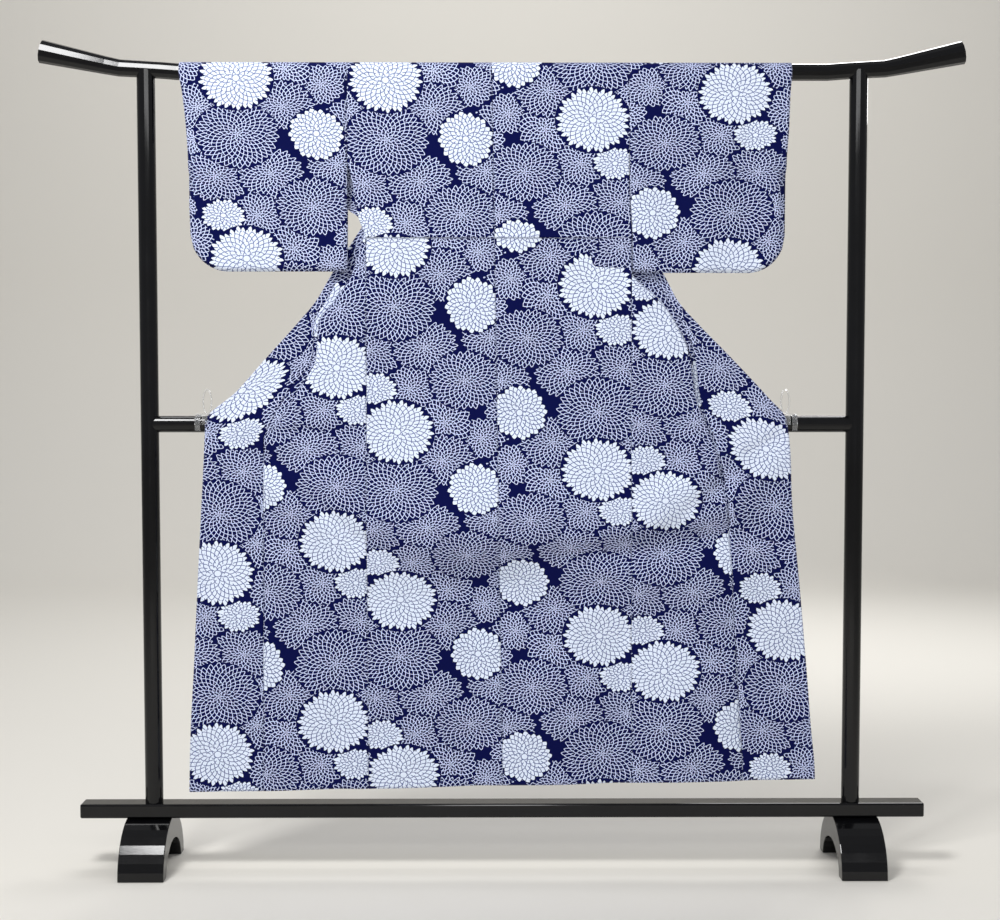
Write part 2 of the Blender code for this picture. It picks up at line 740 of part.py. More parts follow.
def clip_band_outline():
    """Open ring that snaps on the rail, seen along X."""
    inner = RAIL_RADIUS + TOUCH
    outer = inner + CLIP_THICKNESS
    start = -math.pi / 2 + CLIP_OPENING
    sweep = 2 * math.pi - 2 * CLIP_OPENING
    turn = [start + sweep * k / 16 for k in range(17)]
    ring = [(outer * math.cos(a), RAIL_HEIGHT + outer * math.sin(a)) for a in turn]
    ring += [(inner * math.cos(a), RAIL_HEIGHT + inner * math.sin(a)) for a in reversed(turn)]
    return ring


def make_clip(name, places, look, collection, cutters):
    """Clear clip: ring on the rail, tab over the cloth's corner and a handle loop above."""
    band = as_mesh(flat_outline(f"clip_{name}", clip_band_outline(), CLIP_BAND_WIDTH), collection)
    band.name = f"clip_{name}"
    band.location.x = places["band"]
    band.data.materials.append(look)
    collection.objects.link(band)
    top = RAIL_HEIGHT + RAIL_RADIUS + TOUCH
    low, high = top + CLIP_SHELF_LOW, top + CLIP_SHELF_HIGH
    low_x = min(places["band"], places["handle"]) - CLIP_BAND_WIDTH / 3
    high_x = max(places["band"], places["handle"]) + CLIP_BAND_WIDTH / 3
    shelf = box(f"shelf_{name}", (low_x, -CLIP_SHELF_HALF, top + CLIP_THICKNESS / 2),
                (high_x, CLIP_SHELF_HALF, high), None, cutters)
    rise = CLIP_HANDLE_HEIGHT / 2
    loop = []
    for step in range(16):
        a = 2 * math.pi * step / 16
        x = places["handle"] + (CLIP_HANDLE_WIDTH / 2 - CLIP_WIRE) * math.sin(a)
        z = (low + high) / 2 + rise - rise * math.cos(a)
        loop.append((x, 0.0, z, 1.0))
    ring = curve_object(f"handle_{name}", loop, CLIP_WIRE, cyclic=True, roundness=2)
    handle = as_mesh(ring, cutters)
    cutters.objects.link(handle)
    inside = smooth_read(DEPTHS, DEPTH_COLUMNS, "back", RAIL_HEIGHT) - WALL / 2 - CLIP_TAB_CLEAR
    outside = inside - CLIP_TAB_THICKNESS
    tab = flat_outline(f"tab_{name}", (
        (CLIP_SHELF_HALF, low),
        (CLIP_SHELF_HALF, high),
        (outside, high),
        (outside, top - CLIP_TAB_DROP),
        (inside, top - CLIP_TAB_DROP),
        (inside, low),
    ), CLIP_BAND_WIDTH)
    tab = as_mesh(tab, cutters)
    tab.location.x = places["handle"]
    cutters.objects.link(tab)
    for piece in (shelf, handle, tab):
        boolean(band, hide_cutter(piece), "UNION")


def clear_scene():
    """Start from an empty scene."""
    for old in list(bpy.data.objects):
        bpy.data.objects.remove(old)


def main():
    clear_scene()
    scene = bpy.context.scene
    part = bpy.data.collections.new(COLLECTION)
    cutters = bpy.data.collections.new("cutters")
    scene.collection.children.link(part)
    scene.collection.children.link(cutters)

    lacquer = material("black_lacquer", (0.006, 0.006, 0.008), 0.12)
    cotton = material("indigo_cotton", (0.30, 0.33, 0.60), 0.85)
    collar_cotton = material("indigo_cotton_collar", (0.28, 0.31, 0.58), 0.85)
    clear = material("clear_plastic", (0.92, 0.94, 0.95), 0.08, transmission=1.0)

    make_top_bar(lacquer, part)
    make_posts_and_rail(lacquer, part, cutters)
    make_base_board(lacquer, part)
    make_feet(lacquer, part)
    make_clip("left", CLIP_LEFT, clear, part, cutters)
    make_clip("right", CLIP_RIGHT, clear, part, cutters)
    for side, bottom in ((LEFT, SLEEVE_BOTTOM_LEFT), (RIGHT, SLEEVE_BOTTOM_RIGHT)):
        make_body(side, cotton, part)
        make_okumi(side, cotton, part)
        make_sleeve(side, bottom, cotton, part)
    make_collar(collar_cotton, part)


main()
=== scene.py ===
"""Cotton yukata robe on a black lacquered kimono rack, dressed over its solids.

Metres, +Z up. The back of the robe faces -Y. Every sheet of cloth is a thin shell on the
form of its solid, with a map in metres of the cloth that it was cut from.
"""
import math

import bpy
import numpy as np
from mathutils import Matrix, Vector, noise


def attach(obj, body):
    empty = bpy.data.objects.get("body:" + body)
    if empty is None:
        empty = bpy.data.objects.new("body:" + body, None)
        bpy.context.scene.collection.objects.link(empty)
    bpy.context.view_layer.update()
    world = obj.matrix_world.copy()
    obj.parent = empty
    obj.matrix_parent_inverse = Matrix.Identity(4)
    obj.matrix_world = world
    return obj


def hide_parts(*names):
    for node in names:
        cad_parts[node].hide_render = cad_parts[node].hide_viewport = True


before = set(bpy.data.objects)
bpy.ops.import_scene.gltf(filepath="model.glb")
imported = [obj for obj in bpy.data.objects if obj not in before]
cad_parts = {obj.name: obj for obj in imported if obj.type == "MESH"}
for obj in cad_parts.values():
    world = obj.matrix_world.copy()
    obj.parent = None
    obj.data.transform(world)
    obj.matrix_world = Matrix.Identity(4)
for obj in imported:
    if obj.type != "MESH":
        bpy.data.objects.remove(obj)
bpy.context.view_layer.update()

# Camera
LENS = 60.155
SENSOR = 36.0
CAMERA_PLACE = (-0.03098, -3.53702, 1.07531)
CAMERA_PITCH = 0.05734
CAMERA_YAW = 0.00711

# Height of the top bar's middle
BAR_HEIGHT = 1.6853

# Cloth: its walls, here and in the solids, and where it lies on the bar
WALL = 0.0007
COLLAR_WALL = 0.0016
SOLID_WALL = 0.0013
SOLID_COLLAR_WALL = 0.0025
COLLAR_GAP = 0.0009
OVER_BAR = 0.0193
QUARTER_TURN = OVER_BAR * math.pi / 2

# Robe: the places of its seams and edges. The okumi is the overlap panel on each front, and
# the kensaki is its upper point.
CENTRE_TOP = -0.0225
CENTRE_HEM = 0.0003
CENTRE_LEVEL = 1.6975
HEM_LEVEL = 0.181
HEM_SLOPE = 0.0192
HEM_SLOPE_FADES = 0.95
NECK_SHARE = 0.30
PANEL_WIDTH = 0.30
FRONT_WIDTH = 0.222
SIDE_SEAM_TOP = 1.338
SIDE_SEAM_REACH = 0.014
SIDE_SEAM_EASES = 0.03
FRONT_SEAM_STARTS = (1.36, 1.33)
SEAM_TURN = 0.0022
SEAM_DEPTH = 0.0011
TUCK_LEVEL = 1.3445
TUCK_STEP = 0.0025
TUCK_HIDES = 0.036
FRONT_TUCK = 0.070
FRONT_TUCK_TAKEN = (1.50, 1.34)
OKUMI_WIDTH = 0.16
OKUMI_LEAST = 0.003
OKUMI_BELOW_POINT = 0.012
OKUMI_HIDES = 0.036
COLLAR_WIDTH = 0.056
COLLAR_START = 0.019
COLLAR_LEVELS = (1.660, 0.972)
COLLAR_FROM_FOLD = 0.003
NECK_DROP = 0.055
KENSAKI_LEVEL = 1.466
FOLD_SOFTNESS = 0.007
FLAT_SHARE = 0.15
FOLD_STARTS = 1.640
FOLD_WHOLE = 1.540
ARMHOLE_TOP = 1.498
ARMHOLE_TURNS = (1.380, 1.402)
ARMHOLE_HELD = 0.0015

LEVEL_COLUMNS = ("z", "side", "crease", "seam", "edge")
LEFT_LEVELS = (
    (1.660, 0.3245, -0.020, 0.1131, 0.1131),
    (1.600, 0.3245, -0.020, 0.1470, 0.1470),
    (1.498, 0.3245, -0.020, 0.2110, 0.2110),
    (1.466, 0.3165, -0.020, 0.2310, 0.2316),
    (1.380, 0.3010, -0.012, 0.2760, 0.2856),
    (1.334, 0.2862, 0.012, 0.3020, 0.3150),
    (1.263, 0.2857, 0.036, 0.3410, 0.3603),
    (1.207, 0.2857, 0.072, 0.3720, 0.3930),
    (1.165, 0.2857, 0.104, 0.3950, 0.4280),
    (1.084, 0.2857, 0.112, 0.4010, 0.5005),
    (1.019, 0.2857, 0.150, 0.4509, 0.5578),
    (0.954, 0.2857, 0.190, 0.4860, 0.6244),
    (0.916, 0.2857, 0.216, 0.5020, 0.6257),
    (0.783, 0.2857, 0.222, 0.5030, 0.6335),
    (0.612, 0.2857, 0.222, 0.5040, 0.6438),
    (0.471, 0.2855, 0.222, 0.5055, 0.6516),
    (0.272, 0.2850, 0.222, 0.5070, 0.6632),
    (0.181, 0.2848, 0.222, 0.5081, 0.6653),
)
RIGHT_LEVELS = (
    (1.660, 0.2643, -0.020, 0.0635, 0.0635),
    (1.600, 0.2643, -0.020, 0.1040, 0.1040),
    (1.498, 0.2643, -0.020, 0.1750, 0.1750),
    (1.466, 0.2643, -0.020, 0.1975, 0.1981),
    (1.380, 0.2680, -0.012, 0.2480, 0.2575),
    (1.334, 0.2701, -0.014, 0.2770, 0.2896),
    (1.290, 0.2700, -0.014, 0.3020, 0.3200),
    (1.263, 0.2700, 0.004, 0.3180, 0.3390),
    (1.207, 0.2700, 0.066, 0.3490, 0.3692),
    (1.157, 0.2700, 0.100, 0.3790, 0.4135),
    (1.099, 0.2700, 0.126, 0.4030, 0.4707),
    (1.006, 0.2699, 0.141, 0.4145, 0.5575),
    (0.960, 0.2698, 0.158, 0.4290, 0.5960),
    (0.916, 0.2698, 0.176, 0.4460, 0.6025),
    (0.789, 0.2700, 0.203, 0.4730, 0.6090),
    (0.683, 0.2710, 0.212, 0.4802, 0.6190),
    (0.491, 0.2725, 0.220, 0.4923, 0.6375),
    (0.302, 0.2740, 0.222, 0.5040, 0.6535),
    (0.181, 0.2750, 0.222, 0.5110, 0.6640),
)
DEPTH_COLUMNS = ("z", "back", "side", "okumi")
DEPTHS = (
    (BAR_HEIGHT, -OVER_BAR, OVER_BAR, OVER_BAR),
    (1.640, -0.0197, 0.0177, 0.0186),
    (1.570, -0.0209, 0.0110, 0.0165),
    (1.498, -0.0222, 0.0040, 0.0125),
    (1.400, -0.0255, -0.0110, 0.0055),
    (1.334, -0.0275, -0.0275, 0.0005),
    (1.263, -0.0290, -0.0290, -0.0060),
    (1.200, -0.0300, -0.0300, -0.0110),
    (1.060, -0.0310, -0.0310, -0.0195),
    (0.954, -0.0315, -0.0315, -0.0270),
    (0.900, -0.0318, -0.0318, -0.0300),
    (0.181, -0.0320, -0.0320, -0.0312),
)
SLEEVE_COLUMNS = ("z", "left", "right", "front", "rear")
SLEEVE_LEVELS = (
    (BAR_HEIGHT, 0.6740, 0.6030, -OVER_BAR, OVER_BAR),
    (1.640, 0.6675, 0.6000, -0.0197, 0.0177),
    (1.570, 0.6600, 0.5975, -0.0209, 0.0110),
    (1.498, 0.6560, 0.5930, -0.0222, 0.0040),
    (1.400, 0.6550, 0.5910, -0.0245, -0.0070),
    (1.320, 0.6520, 0.5900, -0.0262, -0.0160),
    (1.262, 0.6510, 0.5890, -0.0262, -0.0182),
)
SLEEVE_BOTTOM = {"left": 1.2686, "right": 1.2660}
SLEEVE_CORNER = 0.078
SLEEVE_CROWDING = 0.85
SLEEVE_ROW_CROWDING = 0.92
SLEEVE_SEWN = 0.004
SLEEVE_CLEAR = 0.0012
SLEEVE_CLEAR_STARTS = (1.56, 1.50)
CUFF = 0.230
CUFF_ENDS = (0.012, -0.004)
CUFF_CLOSES = (0.4, 0.8, 1.0)

FOLD_COLUMNS = ("x", "z", "lean", "length", "width", "height")
FOLDS = (
    (-0.010, 0.740, 0, 0.260, 0.110, 0.030),
    (-0.010, 0.505, 0, 0.170, 0.080, -0.010),
    (-0.430, 0.800, -28, 0.150, 0.035, 0.012),
    (-0.480, 0.880, -10, 0.090, 0.022, -0.007),
    (0.440, 0.800, 27, 0.140, 0.038, 0.013),
    (0.390, 0.700, 4, 0.130, 0.030, -0.010),
    (0.300, 0.620, 6, 0.150, 0.045, 0.010),
    (-0.210, 0.330, 88, 0.180, 0.060, 0.010),
    (0.110, 0.320, 92, 0.170, 0.055, 0.011),
    (0.400, 0.330, 90, 0.160, 0.060, 0.009),
    (-0.480, 0.330, 90, 0.170, 0.055, 0.008),
)
FOLDS_FADE = (1.05, 1.25)

# Creases of the thin cloth, which lie on those folds, in the same columns
CREASES = (
    (-0.420, 0.933, 2, 0.068, 0.009, -0.0050),
    (-0.425, 0.952, 3, 0.075, 0.012, 0.0030),
    (-0.405, 0.789, -36, 0.100, 0.014, -0.0105),
    (-0.372, 0.830, -34, 0.105, 0.024, 0.0095),
    (-0.470, 0.868, -30, 0.055, 0.010, -0.0045),
    (-0.300, 0.700, -20, 0.080, 0.020, -0.0050),
    (-0.505, 0.800, -64, 0.060, 0.014, -0.0040),
    (-0.010, 0.735, 0, 0.170, 0.050, 0.0110),
    (-0.010, 0.610, 2, 0.155, 0.040, -0.0160),
    (0.060, 0.560, 12, 0.110, 0.026, -0.0050),
    (0.255, 0.685, 7, 0.120, 0.020, -0.0115),
    (0.290, 0.726, 10, 0.110, 0.022, 0.0075),
    (0.466, 0.838, 68, 0.034, 0.012, -0.0055),
    (0.440, 0.800, 37, 0.110, 0.016, -0.0090),
    (0.405, 0.846, 34, 0.095, 0.022, 0.0065),
    (0.545, 0.905, 30, 0.050, 0.009, -0.0040),
    (-0.350, 0.300, 88, 0.120, 0.024, -0.0055),
    (-0.060, 0.285, 93, 0.130, 0.027, -0.0060),
    (0.235, 0.300, 86, 0.120, 0.024, -0.0055),
    (0.530, 0.290, 92, 0.110, 0.022, -0.0050),
    (-0.150, 1.110, 82, 0.130, 0.026, -0.0048),
    (0.110, 1.070, 98, 0.140, 0.028, -0.0048),
    (-0.300, 1.180, 60, 0.090, 0.018, 0.0030),
    (0.330, 1.120, 118, 0.090, 0.020, 0.0032),
    (0.130, 1.480, 95, 0.080, 0.022, -0.0022),
    (-0.170, 1.500, 84, 0.080, 0.024, -0.0022),
)

# The same on the sleeves, and how far from the armhole and the bar they set in
SLEEVE_CREASES = (
    (-0.405, 1.440, 80, 0.090, 0.022, -0.0040),
    (-0.470, 1.400, 96, 0.090, 0.028, 0.0045),
    (-0.560, 1.420, 88, 0.100, 0.026, -0.0040),
    (-0.610, 1.500, 100, 0.070, 0.020, 0.0030),
    (0.350, 1.430, 98, 0.090, 0.024, -0.0040),
    (0.430, 1.390, 84, 0.090, 0.026, 0.0045),
    (0.510, 1.430, 92, 0.100, 0.024, -0.0040),
    (0.560, 1.520, 80, 0.070, 0.020, 0.0030),
)
SLEEVE_FREE = 0.05
SLEEVE_CREASES_START = (1.66, 1.56)

# Slow and fine waves: across, up, depth
SLOW_WAVE = (0.085, 0.145, 0.0019)
FINE_WAVE = (0.032, 0.043, 0.0005)
WAVES_START = (1.68, 1.58)

# Fineness of the sheets: the steps down and across, and counts of rows and columns
DOWN_STEP = 0.0062
ACROSS_STEP = 0.0048
BAR_ROWS = 7
NECK_ROWS = 12
SLEEVE_COLUMN_COUNT = 52
SLEEVE_ROWS = 64
SLEEVE_BAR_ROWS = 15
COLLAR_NECK_ROWS = 24
COLLAR_FRONT_ROWS = 110
COLLAR_COLUMNS = 10
COLLAR_SMOOTHINGS = 6

LACQUERED = (
    "top_bar", "middle_rail", "post_left", "post_right", "base_board", "foot_left", "foot_right",
)
CLIPS = ("clip_left", "clip_right")

# Stage: the floor runs from the near end to the curve, which rises into the backdrop
STAGE_HALF_WIDTH = 16.0
FLOOR_NEAR, FLOOR_FAR = -16.0, 4.4
CURVE_RADIUS = 1.6
CURVE_STEPS = 12
BACKDROP_DEPTH, BACKDROP_TOP = 6.0, 9.0
FLOOR_DROP = 0.0005
PAPER = (0.78, 0.755, 0.70)
PAPER_ROUGHNESS = 0.9
SKY = (0.96, 0.97, 1.0)
SKY_STRENGTH = 0.33


def smooth_read(rows, columns, name, level):
    """Read a table's column at levels, on a smooth curve that never passes its rows."""
    place = columns.index(name)
    z = np.array([row[0] for row in rows])[::-1]
    value = np.array([row[place] for row in rows])[::-1]
    steep = np.diff(value) / np.diff(z)
    slope = np.zeros(len(z))
    same = steep[:-1] * steep[1:] > 0
    slope[1:-1][same] = 2 * (steep[:-1] * steep[1:])[same] / (steep[:-1] + steep[1:])[same]
    level = np.clip(level, z[0], z[-1])
    k = np.clip(np.searchsorted(z, level) - 1, 0, len(z) - 2)
    span = z[k + 1] - z[k]
    t = (level - z[k]) / span
    start = (1 + 2 * t) * (1 - t) ** 2
    return (
        start * value[k]
        + (1 - start) * value[k + 1]
        + span * slope[k] * t * (1 - t) ** 2
        - span * slope[k + 1] * t * t * (1 - t)
    )


def ease(low, high, value):
    """Rise smoothly from 0 at low to 1 at high."""
    t = np.clip((np.asarray(value, float) - low) / (high - low), 0.0, 1.0)
    return t * t * (3 - 2 * t)


def side_by_side(*values):
    """Numbers and arrays of one row, set side by side as the coordinates of its points."""
    return np.stack(np.broadcast_arrays(*values), axis=-1)


def levels_between(start, end):
    """Heights of a sheet's rows from one level to another."""
    return np.linspace(start, end, round(abs(end - start) / DOWN_STEP))


def ridges(table, x, z):
    """Depth that a table of folds adds, below zero towards the viewer."""
    push = np.zeros_like(np.asarray(x, float) + np.asarray(z, float))
    for row in table:
        fold = dict(zip(FOLD_COLUMNS, row))
        c, s = math.cos(math.radians(fold["lean"])), math.sin(math.radians(fold["lean"]))
        run = (c * (x - fold["x"]) + s * (z - fold["z"])) / fold["length"]
        rise = (c * (z - fold["z"]) - s * (x - fold["x"])) / fold["width"]
        push -= fold["height"] * np.exp(-0.5 * (run * run + rise * rise))
    return push


def fold_push(x, z):
    """Depth of the largest folds, as in the solids, with the cloth's creases on them."""
    return ridges(FOLDS, x, z) * (1 - ease(*FOLDS_FADE, z)) + ridges(CREASES, x, z)


def centre_at(z):
    """X of the centre back seam."""
    t = (CENTRE_LEVEL - z) / (CENTRE_LEVEL - HEM_LEVEL)
    return CENTRE_TOP + (CENTRE_HEM - CENTRE_TOP) * np.clip(t, 0.0, 1.0)


class Side:
    """The left or the right half of the robe, measured outward from X = 0."""

    def __init__(self, name, sign, levels):
        self.name = name
        self.sign = sign
        self.levels = levels

    def read(self, column, z):
        """Outward place of a seam or an edge at a height."""
        return smooth_read(self.levels, LEVEL_COLUMNS, column, z)

    def centre(self, z):
        """Outward place of the centre back seam."""
        return self.sign * centre_at(z)

    def outer(self, z):
        """Outer edge of the front, which stays behind the open armhole before it turns in."""
        side = self.read("side", z)
        held = min(float(self.read("side", level)) for level in (ARMHOLE_TOP, CENTRE_LEVEL))
        held += ARMHOLE_HELD
        return side + np.maximum(held - side, 0.0) * ease(*ARMHOLE_TURNS, z)

    def neck(self):
        """Outer end of the neck opening."""
        inner = self.centre(CENTRE_LEVEL)
        return inner + NECK_SHARE * (self.read("side", CENTRE_LEVEL) - inner)

    def row(self, out, depth, z):
        """Points of a row from their outward places, depths and heights."""
        return side_by_side(self.sign * out, depth, z)

    def front(self, z, u):
        """Outward places and depths of a row of the front, and the cloth from its outer edge."""
        side = float(self.outer(z))
        seam = float(self.read("seam", z))
        slack = max(FRONT_WIDTH - abs(seam - side), 0.0) * float(ease(FOLD_STARTS, FOLD_WHOLE, z))
        width = abs(seam - side) + slack
        crease = min(float(self.read("crease", z)), width)
        second = (width + 2 * max(crease, 0.0) - (seam - side)) / 2

        def turned(t):
            return FOLD_SOFTNESS * np.logaddexp(0.0, 2 * t / FOLD_SOFTNESS)

        def passed(t):
            return 1 / (1 + np.exp(np.clip(-2 * t / FOLD_SOFTNESS, -60, 60)))

        def run(t):
            return t - turned(t - crease) + turned(t - second)

        def layers(t):
            return passed(t - crease) + passed(t - second)

        t = u * width
        out = side + run(t) - run(0.0)
        out = out + (seam - side - run(width) + run(0.0)) * u
        share = layers(t) - layers(0.0) + FLAT_SHARE * u
        share = share / (layers(width) - layers(0.0) + FLAT_SHARE)
        near = smooth_read(DEPTHS, DEPTH_COLUMNS, "side", z)
        far = smooth_read(DEPTHS, DEPTH_COLUMNS, "okumi", z)
        return out, near + (far - near) * share, t


LEFT = Side("left", -1, LEFT_LEVELS)
RIGHT = Side("right", 1, RIGHT_LEVELS)


def behind_bar(drop):
    """Depth and height of a rear point, drop metres of cloth past the bar's crest."""
    a = np.radians(90 + 90 * np.clip(drop / QUARTER_TURN, -1.0, 1.0))
    over = drop < QUARTER_TURN
    z = np.where(over, BAR_HEIGHT + OVER_BAR * np.sin(a), BAR_HEIGHT - (drop - QUARTER_TURN))
    hung = smooth_read(DEPTHS, DEPTH_COLUMNS, "side", z)
    return np.where(over, -OVER_BAR * np.cos(a), hung), z


def neck_drop(side, out):
    """Cloth between the bar's crest and the neck seam behind it."""
    inner = side.centre(CENTRE_LEVEL)
    t = np.clip((out - inner) / (side.neck() - inner), 0.0, 1.0)
    return COLLAR_START + (NECK_DROP - COLLAR_START) * t ** 4


# Where the middle of the large white flower lies on each panel. across: outward from the
# centre back seam, the armhole or the seam. along: cloth down from the bar's crest.
# turned: the panel's print is upside down. lean: across that the flower gains up the panel.
PRINT_COLUMNS = ("across", "along", "turned", "lean")
PRINTS = {
    "body_left": (0.2105, 0.0535, 0, 0.012),
    "body_right": (0.2086, 0.1290, 1, 0.0),
    "okumi_left": (0.0970, 0.3440, 1, 0.0),
    "okumi_right": (0.1020, 0.0880, 0, 0.0),
    "sleeve_left": (0.2105, 0.0495, 0, 0.0205),
    "sleeve_right": (0.2085, 0.0760, 1, 0.0125),
}
LEAN_FADES = (1.28, 1.68)

# Cloth that small unseen ripples take up below a level, so the print closes up there
RIPPLE_COLUMNS = ("z", "back", "front_left", "front_right", "okumi", "sleeve_left", "sleeve_right")
RIPPLES = (
    (1.700, 0.0000, 0.0000, 0.0000, 0.0000, 0.0000, 0.0000),
    (1.640, 0.0000, 0.0000, 0.0000, 0.0000, 0.0000, 0.0020),
    (1.550, 0.0000, 0.0000, 0.0000, 0.0000, 0.0080, 0.0060),
    (1.370, 0.0000, 0.0000, 0.0000, 0.0000, 0.0120, 0.0190),
    (1.260, 0.0000, 0.0000, 0.0000, 0.0000, 0.0120, 0.0200),
    (1.200, -0.004, 0.0000, 0.0000, 0.0000, 0.0120, 0.0200),
    (1.060, -0.004, 0.0000, 0.0040, 0.0000, 0.0120, 0.0200),
    (0.920, -0.004, 0.0050, 0.0160, 0.0000, 0.0120, 0.0200),
    (0.840, -0.004, 0.0110, 0.0220, 0.0010, 0.0120, 0.0200),
    (0.780, -0.001, 0.0170, 0.0255, 0.0020, 0.0120, 0.0200),
    (0.570, 0.0225, 0.0200, 0.0360, -0.001, 0.0120, 0.0200),
    (0.420, 0.0250, 0.0190, 0.0420, 0.0000, 0.0120, 0.0200),
    (0.181, 0.0350, 0.0180, 0.0450, 0.0000, 0.0120, 0.0200),
)


def print_map(panel, across, along, z):
    """Place on the printed bolt, in metres from the large white flower's middle."""
    put = dict(zip(PRINT_COLUMNS, PRINTS[panel]))
    reach = put["across"] + put["lean"] * ease(*LEAN_FADES, z)
    mirrored = -1.0 if panel.endswith("left") else 1.0
    to_right = mirrored * (across - reach)
    down = along - put["along"]
    if put["turned"]:
        to_right, down = -to_right, -down
    return side_by_side(to_right, down)


def hung_length(points):
    """Cloth from the first row down each column, without its sideways lean."""
    steps = np.linalg.norm(np.diff(points[..., 1:], axis=0), axis=2)
    return np.concatenate([np.zeros((1, points.shape[1])), np.cumsum(steps, axis=0)])


def flutter(points):
    """Slow uneven waves that every hanging cloth has, towards and away from the viewer."""
    moved = points.copy()
    flat = moved.reshape(-1, 3)
    hung = ease(*WAVES_START, flat[:, 2])
    for p, share in zip(flat, hung):
        slow = noise.noise((p[0] / SLOW_WAVE[0], p[2] / SLOW_WAVE[1], 1.1))
        fine = noise.noise((p[0] / FINE_WAVE[0], p[2] / FINE_WAVE[1], 2.2))
        p[1] += share * (SLOW_WAVE[2] * slow + FINE_WAVE[2] * fine)
    return moved


def place_new(name, data):
    """New object in the scene."""
    made = bpy.data.objects.new(name, data)
    bpy.context.scene.collection.objects.link(made)
    return made


def sheet_object(name, rows, maps, edges, look, wall=WALL, keep=None):
    """Thin shell of cloth, with its map on the bolt and its places by the finished edges.

    The map "edge" holds the distance from the nearest finished edge and the run along it.
    """
    rows, maps, edges = (np.asarray(given, float) for given in (rows, maps, edges))
    down, across = rows.shape[:2]
    index = np.arange(down * across).reshape(down, across)
    corners = np.stack(
        [index[:-1, :-1], index[:-1, 1:], index[1:, 1:], index[1:, :-1]], axis=2
    ).reshape(-1, 4)
    if keep is not None:
        corners = corners[np.asarray(keep).reshape(-1)]
    used = np.unique(corners)
    renumber = np.zeros(down * across, int)
    renumber[used] = np.arange(len(used))
    points, spots, sewn = (given.reshape(-1, given.shape[-1])[used] for given in (rows, maps, edges))
    faces = renumber[corners]
    mesh = bpy.data.meshes.new(name)
    mesh.from_pydata(points.tolist(), [], faces.tolist())
    for called, given in (("bolt", spots), ("edge", sewn)):
        layer = mesh.uv_layers.new(name=called)
        layer.data.foreach_set("uv", given[faces.reshape(-1)].reshape(-1))
    mesh.shade_smooth()
    mesh.materials.append(look)
    made = place_new(name, mesh)
    thick = made.modifiers.new("wall", "SOLIDIFY")
    thick.thickness = wall
    thick.offset = 0.0
    return made


def settle(points):
    """Give hanging points their folds and slope the hem."""
    x, y, z = points[..., 0], points[..., 1], points[..., 2]
    lift = HEM_SLOPE * x * ease(HEM_SLOPE_FADES, HEM_LEVEL, z)
    return side_by_side(x, y + fold_push(x, z), z + lift)


def pressed(share_in, share_out, width):
    """Depth away from the viewer where a panel's edges turn into their seams."""
    near = np.minimum(share_in * width, share_out * width)
    return SEAM_DEPTH * np.exp(-((near / SEAM_TURN) ** 2))


# Rows of the back panel round the tuck: height from its level, depth from the upper cloth,
# and the share of the hidden cloth that is used up there
TUCK = (
    (0.0035, -0.0003, 0.0),
    (-0.0005, -0.0009, 0.0),
    (-0.0040, -0.0010, 0.0),
    (-0.0050, -0.0004, 0.0),
    (-0.0042, 0.0003, 0.2),
    (-0.0015, 0.0007, 0.5),
    (-0.0042, 0.0014, 0.8),
    (-0.0075, 0.0021, 1.0),
    (-0.0120, 0.0025, 1.0),
)


